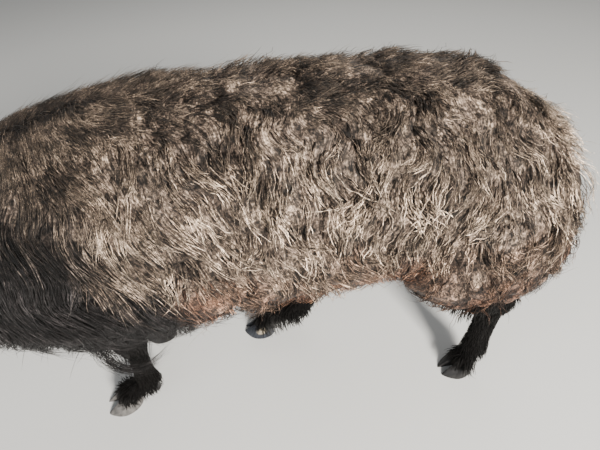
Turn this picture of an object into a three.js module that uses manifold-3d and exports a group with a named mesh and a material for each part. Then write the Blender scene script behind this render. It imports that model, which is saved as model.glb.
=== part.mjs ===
// A small dark short-tailed ewe in full fleece, life size, walking with her head lowered.
// Millimetres. +X is forward, towards the head, +Y is the ewe's left and +Z is up.
// The ewe is modelled in her own body frame, with X = 0 at the middle of the trunk and Z = 0 at the
// ground, and the whole group is then moved so that the origin is at the middle of its footprint.
import * as THREE from "three";
import { mergeVertices } from "three/addons/utils/BufferGeometryUtils.js";
import Module from "manifold-3d";

const wasm = await Module();
wasm.setup();

// ---------------------------------------------------------------- driving dimensions
const WITHERS = 339; // height of the trunk's middle line, on average
const HALF_WIDTH = 158; // of the fleeced barrel, at its widest
const HEAD_LENGTH = 198; // poll to nose
const HEAD_DROP = 50; // degrees that the face points below the horizon
const POLL = { x: 545, z: 402 }; // back of the skull, where the head hangs on the neck
const EYE_RADIUS = 12.5;
const EYE = { along: 80, out: 35.5, up: 9 }; // middle of an eyeball, in the head's frame
const EAR_LENGTH = 84;
const EAR_HALF_WIDTH = 21;
const CLAW = { length: 54, width: 18.5, front: 26, heel: 15, toe: 30, gap: 3.4 };
const GAP = 0.3; // between pieces that meet
const FLEECE_RELIEF = 5; // height of the fleece's rolls over the barrel
const MANE_RELIEF = 8; // and over the shoulder and neck, where the locks are longest

// ---------------------------------------------------------------- small helpers
const radians = (degrees) => (degrees * Math.PI) / 180;
const vec = (x, y, z) => new THREE.Vector3(x, y, z);
const clamp01 = (t) => Math.min(1, Math.max(0, t));
const smooth = (from, to, x) => THREE.MathUtils.smoothstep(x, from, to);

// A superellipse point: power 2 is an ellipse, and a larger power a squarer section.
function superellipse(angle, side, up, down, power) {
  const c = Math.cos(angle);
  const s = Math.sin(angle);
  const round = (v) => Math.sign(v) * Math.abs(v) ** (2 / power);
  return [side * round(c), (s > 0 ? up : down) * round(s)];
}

// A closed mesh from rings of points, each with its own middle, closed by a pole at either end.
function skin(rings, firstPole, lastPole) {
  const sides = rings[0].length;
  const vertices = [firstPole, ...rings.flat(), lastPole];
  const at = (ring, k) => 1 + ring * sides + (k % sides);
  const last = vertices.length - 1;
  const faces = [];
  for (let k = 0; k < sides; k++) {
    faces.push(0, at(0, k + 1), at(0, k));
    faces.push(last, at(rings.length - 1, k), at(rings.length - 1, k + 1));
    for (let r = 0; r + 1 < rings.length; r++) {
      faces.push(at(r, k), at(r, k + 1), at(r + 1, k + 1));
      faces.push(at(r, k), at(r + 1, k + 1), at(r + 1, k));
    }
  }
  const geometry = new THREE.BufferGeometry().setFromPoints(vertices);
  return geometry.setIndex(faces);
}

// Carries a section along a smooth path through stations { at, size: [side, up, down] }, and rounds
// off both ends by a dome. shape(angle, t, size) may return the section's own point, and relief(point,
// angle, t) adds height to the surface there. level keeps every section facing that way instead of
// along the path. grow makes everything thicker by that many millimetres.
function loft({ stations, rings, sides, side, power = 2.2, domes, shape, relief, level, grow = 0 }) {
  const path = new THREE.CatmullRomCurve3(stations.map((s) => s.at), false, "catmullrom");
  const girth = new THREE.CatmullRomCurve3(stations.map((s) => vec(...s.size)), false, "catmullrom");
  const section = shape || ((angle, t, size) => superellipse(angle, ...size, power));
  const ringAt = (t, scale, shift) => {
    const along = level ? level.clone() : path.getTangent(t).normalize();
    const across = side.clone().addScaledVector(along, -side.dot(along)).normalize();
    const above = along.clone().cross(across);
    const middle = path.getPoint(t).addScaledVector(along, shift);
    const size = girth.getPoint(t).toArray().map((v) => v + grow);
    const points = [];
    for (let k = 0; k < sides; k++) {
      const angle = (2 * Math.PI * k) / sides;
      const [a, b] = section(angle, t, size, grow);
      const point = middle.clone().addScaledVector(across, a * scale).addScaledVector(above, b * scale);
      if (relief) {
        const outward = point.clone().sub(middle).normalize();
        point.addScaledVector(outward, relief(point, angle, t) * scale);
      }
      points.push(point);
    }
    return { points, middle, along };
  };
  const DOME_STEPS = 3;
  const all = [];
  for (let i = DOME_STEPS; i > 0; i--) {
    const turn = (i / (DOME_STEPS + 1)) * (Math.PI / 2);
    all.push(ringAt(0, Math.cos(turn), -(domes[0] + grow) * Math.sin(turn)));
  }
  for (let i = 0; i <= rings; i++) all.push(ringAt(i / rings, 1, 0));
  for (let i = 1; i <= DOME_STEPS; i++) {
    const turn = (i / (DOME_STEPS + 1)) * (Math.PI / 2);
    all.push(ringAt(1, Math.cos(turn), (domes[1] + grow) * Math.sin(turn)));
  }
  const start = ringAt(0, 0, -(domes[0] + grow)).middle;
  const end = ringAt(1, 0, domes[1] + grow).middle;
  return skin(all.map((r) => r.points), start, end);
}

// A three.js geometry as a solid that can be cut, and a cut solid as a geometry again.
function solidOf(geometry) {
  const bare = new THREE.BufferGeometry().setAttribute("position", geometry.getAttribute("position"));
  if (geometry.index) bare.setIndex(geometry.index);
  const merged = mergeVertices(bare, 1e-3);
  return new wasm.Manifold(
    new wasm.Mesh({
      numProp: 3,
      vertProperties: merged.getAttribute("position").array,
      triVerts: new Uint32Array(merged.index.array),
    }),
  );
}

function geometryOf(solid) {
  const mesh = solid.getMesh();
  const geometry = new THREE.BufferGeometry();
  geometry.setAttribute("position", new THREE.BufferAttribute(mesh.vertProperties.slice(), 3));
  geometry.setIndex(new THREE.BufferAttribute(mesh.triVerts.slice(), 1));
  geometry.computeVertexNormals();
  return geometry;
}

const without = (solid, ...cutters) => cutters.reduce((left, cutter) => left.subtract(cutter), solid);
const largestOf = (solid) => solid.decompose().sort((a, b) => b.volume() - a.volume())[0];

// ---------------------------------------------------------------- trunk and neck
// Rolls of fleece: a few long waves that drift across each other, higher on the shoulder and neck.
function fleeceRelief(point) {
  const height = THREE.MathUtils.lerp(FLEECE_RELIEF, MANE_RELIEF, smooth(120, 300, point.x));
  const drift = 0.9 * Math.sin(point.z / 61 + point.y / 97);
  const rolls = Math.sin(point.x / 17 + 1.7 * drift) * Math.cos(point.z / 31 - point.x / 83);
  const broad = Math.sin(point.x / 43 - point.z / 29 + point.y / 37);
  const fade = 1 - smooth(430, 560, point.x);
  return height * fade * (0.62 * rolls + 0.38 * broad);
}

const station = (x, z, side, up, down) => ({ at: vec(x, 0, z), size: [side, up, down] });
const TRUNK = [
  station(-318, WITHERS - 4, 126, 112, 113), // buttocks
  station(-240, WITHERS + 2, 145, 152, 140), // hips
  station(-115, WITHERS + 6, 149, 160, 140), // loin
  station(30, WITHERS + 3, 155, 162, 151), // ribs
  station(160, WITHERS - 7, HALF_WIDTH, 159, 167), // heart girth
  station(255, WITHERS - 17, 148, 143, 170), // shoulder
  station(335, WITHERS - 14, 124, 117, 159), // breast
  station(405, WITHERS - 1, 101, 99, 137), // root of the neck
  station(470, WITHERS + 18, 84, 86, 108),
  station(528, WITHERS + 44, 66, 66, 76), // behind the ears
];
const RUMP_DOME = 73;

function trunkSolid(grow) {
  const shape = { stations: TRUNK, rings: 28, sides: 26, side: vec(0, 1, 0), power: 2.25 };
  return solidOf(loft({ ...shape, domes: [RUMP_DOME, 18], relief: fleeceRelief, grow }));
}

// Thin slabs that part the tube from the rump to the poll into its named lengths.
const CUTS = [
  { at: vec(-175, 0, WITHERS), lean: 0 },
  { at: vec(190, 0, WITHERS), lean: -8 },
  { at: vec(372, 0, WITHERS), lean: 14 },
];

function slab({ at, lean }) {
  const box = new THREE.BoxGeometry(GAP, 700, 700);
  box.rotateY(radians(lean)).translate(at.x, at.y, at.z);
  return solidOf(box);
}

// ---------------------------------------------------------------- head
const HEAD_MATRIX = new THREE.Matrix4()
  .makeTranslation(POLL.x, 0, POLL.z)
  .multiply(new THREE.Matrix4().makeRotationY(radians(HEAD_DROP)));
const inHead = (along, out, up) => vec(along, out, up).applyMatrix4(HEAD_MATRIX);

const share = (part) => part * HEAD_LENGTH;
const HEAD = [
  station(0, -2, 33, 30, 34), // back of the skull
  station(share(0.14), 0, 41, 39, 46), // poll
  station(share(0.27), 0, 46, 43, 56), // temples
  station(share(0.4), -2, 44, 41, 58), // eyes
  station(share(0.53), -4, 37, 35, 51), // cheeks
  station(share(0.66), -6, 30, 31, 41), // bridge of the nose
  station(share(0.8), -8, 26, 27, 31), // muzzle
  station(share(0.92), -10, 24, 24, 25), // lips
];
const NOSE_DOME = share(0.08);

// Height added to the head's plain loft: brow, cheek bone, nostril and the line of the mouth.
function faceRelief(point, angle, t) {
  const bump = (along, up, spread, height) => {
    const away = Math.hypot(point.x - along, point.z - up);
    return height * Math.exp(-((away / spread) ** 2));
  };
  const flank = Math.abs(Math.cos(angle));
  const brow = bump(EYE.along - 2, EYE.up + 17, 15, 6) * flank;
  const cheek = bump(EYE.along + 22, -14, 17, 2.5) * flank;
  const nostril = -bump(share(0.93), 1, 6, 2.5) * flank;
  const lip = Math.exp(-(((point.z + 16) / 3.2) ** 2)) * smooth(share(0.72), share(0.86), point.x);
  return brow + cheek + nostril - 2.6 * lip * clamp01(2 * flank);
}

function headSolid(grow) {
  const shape = { stations: HEAD, rings: 20, sides: 22, side: vec(0, 1, 0), power: 2.15 };
  const head = loft({ ...shape, domes: [14, NOSE_DOME], relief: faceRelief, grow });
  return solidOf(head.applyMatrix4(HEAD_MATRIX));
}

function eyeSolid(side, grow) {
  const { x, y, z } = inHead(EYE.along, side * EYE.out, EYE.up);
  return solidOf(new THREE.SphereGeometry(EYE_RADIUS + grow, 12, 8).translate(x, y, z));
}

// An ear: a leaf that is widest past its middle, cupped so that its hollow faces forward and up.
const EAR_ROOT = { along: 24, out: 34, up: 20 };
const EAR_TIP = { along: 6, out: 34 + 0.93 * EAR_LENGTH, up: 6 };
const EAR_THICKNESS = 2.4;

function earSection(angle, t, [side, up]) {
  const a = side * Math.cos(angle);
  const cup = -0.55 * side * (1 - smooth(0.55, 1, t)) * (Math.cos(angle) ** 2 - 0.5);
  return [a, up * Math.sin(angle) + cup];
}

function earSolid(side) {
  const bow = inHead(12, side * (34 + 0.5 * EAR_LENGTH), 21);
  const size = (width) => [width * EAR_HALF_WIDTH, EAR_THICKNESS, EAR_THICKNESS];
  const root = inHead(EAR_ROOT.along, side * EAR_ROOT.out, EAR_ROOT.up);
  const tip = inHead(EAR_TIP.along, side * EAR_TIP.out, EAR_TIP.up);
  const stations = [
    { at: root, size: [0.5 * EAR_HALF_WIDTH, 7, 7] },
    { at: root.clone().lerp(bow, 0.55), size: size(0.82) },
    { at: bow, size: size(1) },
    { at: bow.clone().lerp(tip, 0.6), size: size(0.72) },
    { at: tip, size: size(0.2) },
  ];
  const edge = inHead(1, 0, 0).sub(inHead(0, 0, 0)).multiplyScalar(side);
  return solidOf(loft({ stations, rings: 7, sides: 10, side: edge, domes: [4, 4], shape: earSection }));
}

// ---------------------------------------------------------------- tail
const TAIL = [
  { at: vec(-360, 0, 398), size: [22, 12, 12] },
  { at: vec(-384, 0, 362), size: [27, 16, 16] },
  { at: vec(-394, 0, 316), size: [26, 15, 15] },
  { at: vec(-390, 0, 268), size: [16, 9, 9] },
];

function tailSolid() {
  const relief = (point) => 1.6 * Math.sin(point.z / 6.5 + point.y / 11);
  return solidOf(loft({ stations: TAIL, rings: 6, sides: 10, side: vec(0, 1, 0), domes: [12, 12], relief }));
}

// ---------------------------------------------------------------- legs
// Where each hoof stands, and how many degrees its toe turns out from straight ahead.
const LEGS = {
  front_left: { fore: true, side: 1, hoof: vec(262, 60, 0), toeOut: 12, splay: 8 },
  front_right: { fore: true, side: -1, hoof: vec(216, -68, 0), toeOut: 5, splay: 4 },
  hind_left: { fore: false, side: 1, hoof: vec(-275, 86, 0), toeOut: 6, splay: 4 },
  hind_right: { fore: false, side: -1, hoof: vec(38, -47, 0), toeOut: 14, splay: 2 },
};
// Forward and upward offsets of each joint from the middle of the hoof, for the leg's own step.
const STEP = {
  front_left: { fetlock: [-46, 53], knee: [-50, 148], elbow: [-36, 258] },
  front_right: { fetlock: [-30, 56], knee: [-8, 152], elbow: [8, 258] },
  hind_left: { fetlock: [-21, 56], hock: [-30, 172], stifle: [62, 262] },
  hind_right: { fetlock: [-66, 47], hock: [-146, 138], stifle: [-168, 255] },
};
const CORONET = [-12, 27];
const FORE_SIZES = {
  forearm: [25, 28, 30], knee: [21, 22, 20], shank: [14.5, 15.5, 17],
  cannon: [14, 15, 17], fetlock: [18, 15, 18], pastern: [17, 14, 14], coronet: [20, 19, 17],
};
const HIND_SIZES = {
  gaskin: [34, 44, 40], hock: [22, 24, 29], shank: [16, 20, 21],
  cannon: [15.5, 19, 21], fetlock: [18, 19, 21], pastern: [17, 15, 15], coronet: [20, 19, 17],
};

// A joint's place: forward and up from the hoof, and out to the side where the limb joins the body.
function jointOf(name, joint, out = 0) {
  const { hoof, side } = LEGS[name];
  const [forward, up] = Array.isArray(joint) ? joint : STEP[name][joint];
  return vec(hoof.x + forward, hoof.y + side * out, up);
}

function lowerLeg(name, grow) {
  const { fore } = LEGS[name];
  const sizes = fore ? FORE_SIZES : HIND_SIZES;
  const bend = fore ? "knee" : "hock";
  const joint = jointOf(name, bend, 2);
  const fetlock = jointOf(name, "fetlock");
  const above = fore ? jointOf(name, "elbow", 14) : jointOf(name, "stifle", 14);
  const between = (share) => joint.clone().lerp(fetlock, share);
  const stations = [
    { at: joint.clone().lerp(above, fore ? 0.55 : 0.42), size: fore ? sizes.forearm : sizes.gaskin },
    { at: joint, size: sizes[bend] },
    { at: between(0.3), size: sizes.shank },
    { at: between(0.72), size: sizes.cannon },
    { at: fetlock, size: sizes.fetlock },
    { at: fetlock.clone().lerp(jointOf(name, CORONET), 0.5), size: sizes.pastern },
    { at: jointOf(name, CORONET), size: sizes.coronet },
  ];
  return solidOf(loft({ stations, rings: 13, sides: 10, side: vec(0, 1, 0), domes: [12, 4], grow }));
}

// A woolly thigh, in level sections from the hip to just above the hock.
const THIGH = [
  { z: 373, x: -270, y: 80, size: [48, 97, 106] },
  { z: 321, x: -262, y: 88, size: [68, 120, 124] },
  { z: 271, x: -257, y: 90, size: [68, 119, 128] },
  { z: 221, x: -260, y: 84, size: [58, 97, 112] },
  { z: 182, x: -278, y: 80, size: [43, 62, 76] },
];

function thighSolid(name, grow) {
  const { side, hoof } = LEGS[name];
  const reach = hoof.x > 0 ? 46 : 0; // a leg swung forward carries the foot of the thigh with it
  const stations = THIGH.map(({ z, x, y, size }) => {
    const swing = reach * (1 - smooth(180, 350, z));
    return { at: vec(x + swing, side * y, z), size };
  });
  const relief = (point) => 3.5 * Math.sin(point.x / 15 + point.z / 21) * Math.cos(point.z / 17);
  const shape = { stations, rings: 7, sides: 18, side: vec(0, 1, 0), level: vec(0, 0, -1) };
  return solidOf(loft({ ...shape, domes: [30, 20], relief, grow }));
}

// The part of the body that is named as a thigh, seen from the side: its outline, drawn flank to hip.
const THIGH_OUTLINE = [[-90, 130], [-112, 236], [-150, 310], [-220, 372], [-330, 380], [-460, 320], [-460, 130]];

function thighRegion(side, grow) {
  const outline = new THREE.Shape(THIGH_OUTLINE.map(([x, z]) => new THREE.Vector2(x, z)));
  const block = new THREE.ExtrudeGeometry(outline, { depth: 260, bevelEnabled: false });
  const middle = vec(-240, 0, 260);
  const scale = 1 + grow / 150;
  block.rotateX(Math.PI / 2).translate(-middle.x, 0, -middle.z).scale(scale, 1, scale);
  const inner = 44 - grow;
  return solidOf(block.translate(middle.x, side > 0 ? 260 + inner : -inner, middle.z));
}

// One claw of a cloven hoof, on a flat sole: a straight inner wall and a rounded outer wall that
// run out to a pointed toe, and a top that falls from the front of the coronet to the heel.
const CLAW_LEVELS = 3;
const CLAW_SIDES = 12;

function clawSolid(name, half, grow) {
  const { hoof, side, toeOut, splay } = LEGS[name];
  const levels = [];
  for (let i = 0; i <= CLAW_LEVELS; i++) {
    const rise = i / CLAW_LEVELS;
    const ring = [];
    for (let k = 0; k < CLAW_SIDES; k++) {
      const angle = (2 * Math.PI * k) / CLAW_SIDES;
      const [c, s] = [Math.cos(angle), Math.sin(angle)];
      const x = (CLAW.length / 2 - (c > 0 ? CLAW.toe : 3) * rise + grow) * c;
      const outer = half * s > 0;
      const swell = outer ? CLAW.width * (1 - 0.12 * rise) * (1 - 0.45 * Math.max(0, c) ** 2) : 1.2;
      const y = half * (CLAW.gap / 2 + 1.2) + (swell + grow) * s;
      const top = THREE.MathUtils.lerp(CLAW.heel, CLAW.front, clamp01(0.5 + x / (CLAW.length - CLAW.toe)));
      ring.push(vec(x, y, rise * (top + grow)));
    }
    levels.push(ring);
  }
  const middle = (ring) => ring.reduce((sum, p) => sum.add(p), vec(0, 0, 0)).divideScalar(CLAW_SIDES);
  const claw = skin(levels, middle(levels[0]), middle(levels[CLAW_LEVELS]));
  claw.translate(CLAW.length / 2, 0, 0).rotateZ(radians(half * splay));
  claw.translate(-CLAW.length / 2, 0, 0).rotateZ(radians(side * toeOut));
  return solidOf(claw.translate(hoof.x, hoof.y, 0));
}

// A dewclaw: a small horn button behind the fetlock.
function dewclawSolid(name, half) {
  const { x, y, z } = jointOf(name, "fetlock");
  const button = new THREE.SphereGeometry(7, 7, 5).scale(1, 0.8, 1.5);
  return solidOf(button.rotateY(radians(-25)).translate(x - 19, y + half * 9, z - 8));
}

// ---------------------------------------------------------------- the pieces, parted from each other
const wool = { color: 0x4a3d35, roughness: 0.95, metalness: 0 };
const blackHair = { color: 0x17130f, roughness: 0.7, metalness: 0 };
const horn = { color: 0x5c564e, roughness: 0.5, metalness: 0 };
const eyeGloss = { color: 0x3a2410, roughness: 0.08, metalness: 0 };

const ewe = new THREE.Group();
function add(name, solid, look) {
  const mesh = new THREE.Mesh(geometryOf(solid), new THREE.MeshStandardMaterial(look));
  mesh.name = name;
  ewe.add(mesh);
}

const legNames = Object.keys(LEGS);
const hindNames = legNames.filter((name) => !LEGS[name].fore);
const thighsGrown = hindNames.map((name) => thighSolid(name, GAP));
const trunkGrown = trunkSolid(GAP);

// The fleeced body is one solid from the rump to the poll, parted by thin cuts.
const body = hindNames.reduce((whole, name) => whole.add(thighSolid(name, 0)), trunkSolid(0));
for (const name of hindNames) {
  add(name.replace("hind", "thigh"), largestOf(body.intersect(thighRegion(LEGS[name].side, 0))), wool);
}
const torso = without(body, thighRegion(1, GAP), thighRegion(-1, GAP), ...CUTS.map(slab));
const lengths = torso.decompose().sort((a, b) => b.volume() - a.volume()).slice(0, 4);
lengths.sort((a, b) => a.boundingBox().max[0] - b.boundingBox().max[0]);
["trunk_rump", "trunk_barrel", "trunk_shoulders", "neck"].forEach((name, i) => add(name, lengths[i], wool));

const eyesGrown = [1, -1].map((side) => eyeSolid(side, GAP));
add("head", largestOf(without(headSolid(0), trunkGrown, ...eyesGrown)), blackHair);
const headGrown = headSolid(GAP);
for (const [side, hand] of [[1, "left"], [-1, "right"]]) {
  add(`eye_${hand}`, eyeSolid(side, 0), eyeGloss);
  add(`ear_${hand}`, largestOf(without(earSolid(side), headGrown, trunkGrown)), blackHair);
}
add("tail", largestOf(without(tailSolid(), trunkGrown)), wool);

for (const name of legNames) {
  const clawsGrown = [1, -1].map((half) => clawSolid(name, half, GAP));
  const limb = without(lowerLeg(name, 0), trunkGrown, ...thighsGrown, ...clawsGrown);
  add(`leg_${name}`, largestOf(limb), blackHair);
  const limbGrown = lowerLeg(name, GAP);
  for (const [half, place] of [[1, "a"], [-1, "b"]]) {
    add(`claw_${name}_${place}`, clawSolid(name, half, 0), horn);
    add(`dewclaw_${name}_${place}`, largestOf(without(dewclawSolid(name, half), limbGrown)), horn);
  }
}

// The origin: on the ground, under the middle of the whole ewe.
const reach = new THREE.Box3().setFromObject(ewe, true);
const middle = reach.getCenter(vec(0, 0, 0));
ewe.position.set(-middle.x, -middle.y, -reach.min.z);

export default ewe;
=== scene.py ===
# %% [markdown]
# # A small dark ewe in full fleece
#
# This lesson dresses a still, life-size sheep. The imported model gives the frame: plain solids out to
# the tips of the wool. Here they are replaced by one skin that lies inside them by the depth of the
# coat, by eyes and hooves, and by a coat of many thin solid strands that follow the lie of the wool.
#
# Everything is worked out with numpy in the ewe's own body frame: metres, +X forward, +Y to her
# left, +Z up, with X = 0 at the middle of her trunk. The row frame is the same, moved sideways.

# %% Load the frame
import math

import bpy
import numpy as np
from mathutils import Matrix, Vector
from mathutils.bvhtree import BVHTree
from mathutils.kdtree import KDTree


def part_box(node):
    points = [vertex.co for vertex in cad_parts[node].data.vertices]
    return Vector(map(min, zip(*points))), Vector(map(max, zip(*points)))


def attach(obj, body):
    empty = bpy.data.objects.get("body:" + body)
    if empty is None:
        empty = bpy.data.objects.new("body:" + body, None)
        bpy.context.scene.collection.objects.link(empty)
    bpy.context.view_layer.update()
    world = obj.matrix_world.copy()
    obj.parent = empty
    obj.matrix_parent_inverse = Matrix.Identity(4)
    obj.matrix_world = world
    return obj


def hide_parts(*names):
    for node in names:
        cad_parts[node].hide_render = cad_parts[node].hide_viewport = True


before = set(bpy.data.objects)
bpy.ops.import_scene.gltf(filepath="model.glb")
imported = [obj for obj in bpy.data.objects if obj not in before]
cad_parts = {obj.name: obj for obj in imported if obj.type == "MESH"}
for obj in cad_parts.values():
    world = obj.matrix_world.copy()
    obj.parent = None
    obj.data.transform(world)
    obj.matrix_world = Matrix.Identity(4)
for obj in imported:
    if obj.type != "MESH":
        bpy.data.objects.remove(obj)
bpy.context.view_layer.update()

print("nodes:", len(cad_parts))

# %% [markdown]
# ## Where the body frame lies
#
# An eyeball is the same ball in the solids and here, so the middles of the two eyes say how far the
# body frame was moved to put the origin under the middle of the whole ewe.

# %% Landmarks
POLL = np.array([0.545, 0.0, 0.402])
HEAD_DROP = math.radians(50)
HEAD_LENGTH = 0.198
EYE = np.array([0.080, 0.0355, 0.009])  # along the head, out, up
EYE_RADIUS = 0.0125
LID = dict(length=0.0104, upper=0.0058, lower=0.0046, thick=0.0012)  # half length, heights, thickness
HEAD_AXES = np.array(
    [
        [math.cos(HEAD_DROP), 0, -math.sin(HEAD_DROP)],
        [0, 1, 0],
        [math.sin(HEAD_DROP), 0, math.cos(HEAD_DROP)],
    ]
)


def in_head(points):
    """Points given along the head, out to the left and up from it, carried into the body frame."""
    return np.asarray(points, float) @ HEAD_AXES + POLL


def box_middle(node):
    """The middle of a solid's box, in the row frame."""
    low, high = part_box(node)
    return (np.array(low) + np.array(high)) / 2


eyes = (box_middle("eye_left") + box_middle("eye_right")) / 2
SHIFT = eyes - in_head(EYE * [1, 0, 1])
print("body frame moved by", SHIFT.round(4))

# %% [markdown]
# ## Helpers for surfaces
#
# A limb or a trunk is a loft: sections of a superellipse carried along a smooth path. The whole
# surface is one grid of two parameters, so it is computed at once, and closed with a pole at either
# end.

# %% Helpers
RNG = np.random.default_rng(7)


def catmull(rows, t):
    """A smooth curve through rows of values: at each t from 0 to 1, the cubic whose slope at every
    row is half the step between that row's two neighbours."""
    rows = np.asarray(rows, float)
    ext = np.vstack([2 * rows[0] - rows[1], rows, 2 * rows[-1] - rows[-2]])
    s = np.clip(t, 0, 1) * (len(rows) - 1)
    i = np.minimum(s.astype(int), len(rows) - 2)
    u = (s - i)[:, None]
    a, b, c, d = ext[i], ext[i + 1], ext[i + 2], ext[i + 3]
    return 0.5 * (2 * b + (c - a) * u + (2 * a - 5 * b + 4 * c - d) * u**2 + (3 * b - a - 3 * c + d) * u**3)


def smooth(low, high, x):
    """0 below low, 1 above high, and 3t^2 - 2t^3 between."""
    t = np.clip((np.asarray(x, float) - low) / (high - low), 0, 1)
    return t * t * (3 - 2 * t)


def unit(v):
    """Each row divided by its own length."""
    return v / np.maximum(np.linalg.norm(v, axis=-1, keepdims=True), 1e-9)


def ripple(points, size, seed, octaves=3):
    """Smooth noise from -1 to 1: a mean of sines along seeded random directions, each octave of half
    the wavelength and half the height."""
    rng = np.random.default_rng(seed)
    total, weight = np.zeros(points.shape[:-1]), 0.0
    for octave in range(octaves):
        waves = rng.normal(size=(7, 3))
        waves = unit(waves) * (2 * math.pi * 2**octave / size)
        phase = rng.uniform(0, 2 * math.pi, 7)
        total += np.sin(points @ waves.T + phase).mean(-1) * 1.9 / 2**octave
        weight += 1 / 2**octave
    return np.clip(total / weight * 1.3, -1, 1)


def loft(stations, n_along, n_around, domes, power=2.2, inset=0.0, level=None, share=None):
    """A grid of points around a path. stations are rows of x, y, z, side, up and down half sizes; each
    section is side*cos^(2/power), up or down*sin^(2/power), and both ends are rounded by a dome.
    inset makes it thinner all round; level keeps every section facing one way."""
    t = np.linspace(0, 1, n_along) if share is None else share
    rows = catmull(stations, t)
    step = 1e-3
    ahead = catmull(stations, np.clip(t + step, 0, 1)) - catmull(stations, np.clip(t - step, 0, 1))
    along = unit(ahead[:, :3]) if level is None else np.tile(np.array(level, float), (len(t), 1))
    left = np.array([0.0, 1.0, 0.0])
    across = unit(left - along * (along @ left)[:, None])
    above = np.cross(along, across)
    sizes = np.maximum(rows[:, 3:] - inset, 0.0005)
    dome_steps = 7
    turn = np.linspace(0, math.pi / 2, dome_steps + 1)[1:-1]
    first = [(0, math.cos(a), -(domes[0] - inset) * math.sin(a)) for a in turn[::-1]]
    last = [(len(t) - 1, math.cos(a), (domes[1] - inset) * math.sin(a)) for a in turn]
    rings = first + [(i, 1.0, 0.0) for i in range(len(t))] + last
    index = np.array([r[0] for r in rings])
    scale = np.array([r[1] for r in rings])[:, None, None]
    push = np.array([r[2] for r in rings])[:, None]
    angle = np.linspace(0, 2 * math.pi, n_around, endpoint=False)
    c, s = np.cos(angle), np.sin(angle)
    wide = sizes[index, 0:1] * np.sign(c) * np.abs(c) ** (2 / power)
    tall = np.where(s > 0, sizes[index, 1:2], sizes[index, 2:3]) * np.sign(s) * np.abs(s) ** (2 / power)
    middle = rows[index, :3] + along[index] * push
    spread = across[index][:, None] * wide[..., None] + above[index][:, None] * tall[..., None]
    return middle[:, None] + spread * scale


def closed(grid):
    """Vertices and triangles of a tube of rings, its two ends closed by a pole in their middle."""
    rings, around = grid.shape[:2]
    points = np.vstack([grid.reshape(-1, 3), grid[0].mean(0), grid[-1].mean(0)])
    r, k = np.meshgrid(np.arange(rings - 1), np.arange(around), indexing="ij")
    a, b = r * around + k, r * around + (k + 1) % around
    c, d = a + around, b + around
    walls = np.concatenate([np.stack([a, b, d], -1).reshape(-1, 3), np.stack([a, d, c], -1).reshape(-1, 3)])
    k = np.arange(around)
    low = np.stack([np.full(around, rings * around), (k + 1) % around, k], -1)
    top = (rings - 1) * around
    high = np.stack([np.full(around, rings * around + 1), top + k, top + (k + 1) % around], -1)
    return points, np.concatenate([walls, low, high])


def new_piece(name, points, faces, material=None, attributes=None, loop_uv=None):
    """A mesh object from whole arrays, moved from the body frame into the row frame."""
    mesh = bpy.data.meshes.new(name)
    mesh.vertices.add(len(points))
    mesh.vertices.foreach_set("co", (points + SHIFT).astype(np.float32).ravel())
    mesh.loops.add(faces.size)
    mesh.loops.foreach_set("vertex_index", faces.astype(np.int32).ravel())
    mesh.polygons.add(len(faces))
    mesh.polygons.foreach_set("loop_start", np.arange(0, faces.size, faces.shape[1], dtype=np.int32))
    mesh.polygons.foreach_set("use_smooth", np.ones(len(faces), bool))
    mesh.update(calc_edges=True)
    for key, values in (attributes or {}).items():
        mesh.attributes.new(key, "FLOAT", "POINT").data.foreach_set("value", values.astype(np.float32))
    if loop_uv is not None:
        mesh.uv_layers.new(name="OFBake").data.foreach_set("uv", loop_uv.astype(np.float32).ravel())
    if material:
        mesh.materials.append(material)
    piece = bpy.data.objects.new(name, mesh)
    bpy.context.scene.collection.objects.link(piece)
    return piece


def apply_modifiers(piece):
    """Replaces a piece's mesh by what its modifiers make of it."""
    graph = bpy.context.evaluated_depsgraph_get()
    made = bpy.data.meshes.new_from_object(piece.evaluated_get(graph))
    piece.modifiers.clear()
    piece.data = made
    return piece


def arrays_of(piece):
    """A mesh's points in the body frame, its triangles and its points' normals, as arrays."""
    mesh = piece.data
    points = np.empty(len(mesh.vertices) * 3, np.float32)
    mesh.vertices.foreach_get("co", points)
    mesh.calc_loop_triangles()
    tris = np.empty(len(mesh.loop_triangles) * 3, np.int32)
    mesh.loop_triangles.foreach_get("vertices", tris)
    normals = np.empty(len(mesh.vertices) * 3, np.float32)
    mesh.vertices.foreach_get("normal", normals)
    return points.reshape(-1, 3) - SHIFT, tris.reshape(-1, 3), normals.reshape(-1, 3)


# %% [markdown]
# ## The body's skin
#
# Under the wool a sheep is a barrel on four thin legs. The trunk with the neck is one loft, each
# thigh another. They overlap, so a voxel remesh makes one closed surface of them, which a few passes
# of smoothing turn into skin. It lies inside the solids by the depth of the fleece.

# %% Trunk, thighs and tail
FLEECE = 0.027  # how deep the wool lies on the trunk
THIGH_FLEECE = 0.022
TRUNK = np.array(
    [  # x, y, z, side, up, down: out to the tips of the wool
        (-0.318, 0, 0.335, 0.126, 0.112, 0.113),  # buttocks
        (-0.240, 0, 0.341, 0.145, 0.152, 0.140),  # hips
        (-0.115, 0, 0.345, 0.149, 0.160, 0.140),  # loin
        (0.030, 0, 0.342, 0.155, 0.162, 0.151),  # ribs
        (0.160, 0, 0.332, 0.158, 0.159, 0.167),  # heart girth
        (0.255, 0, 0.322, 0.148, 0.143, 0.170),  # shoulder
        (0.335, 0, 0.325, 0.124, 0.117, 0.159),  # breast
        (0.405, 0, 0.338, 0.101, 0.099, 0.137),  # root of the neck
        (0.470, 0, 0.357, 0.084, 0.086, 0.108),
        (0.528, 0, 0.383, 0.066, 0.066, 0.076),  # behind the ears
    ]
)
RUMP_DOME = 0.073
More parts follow.
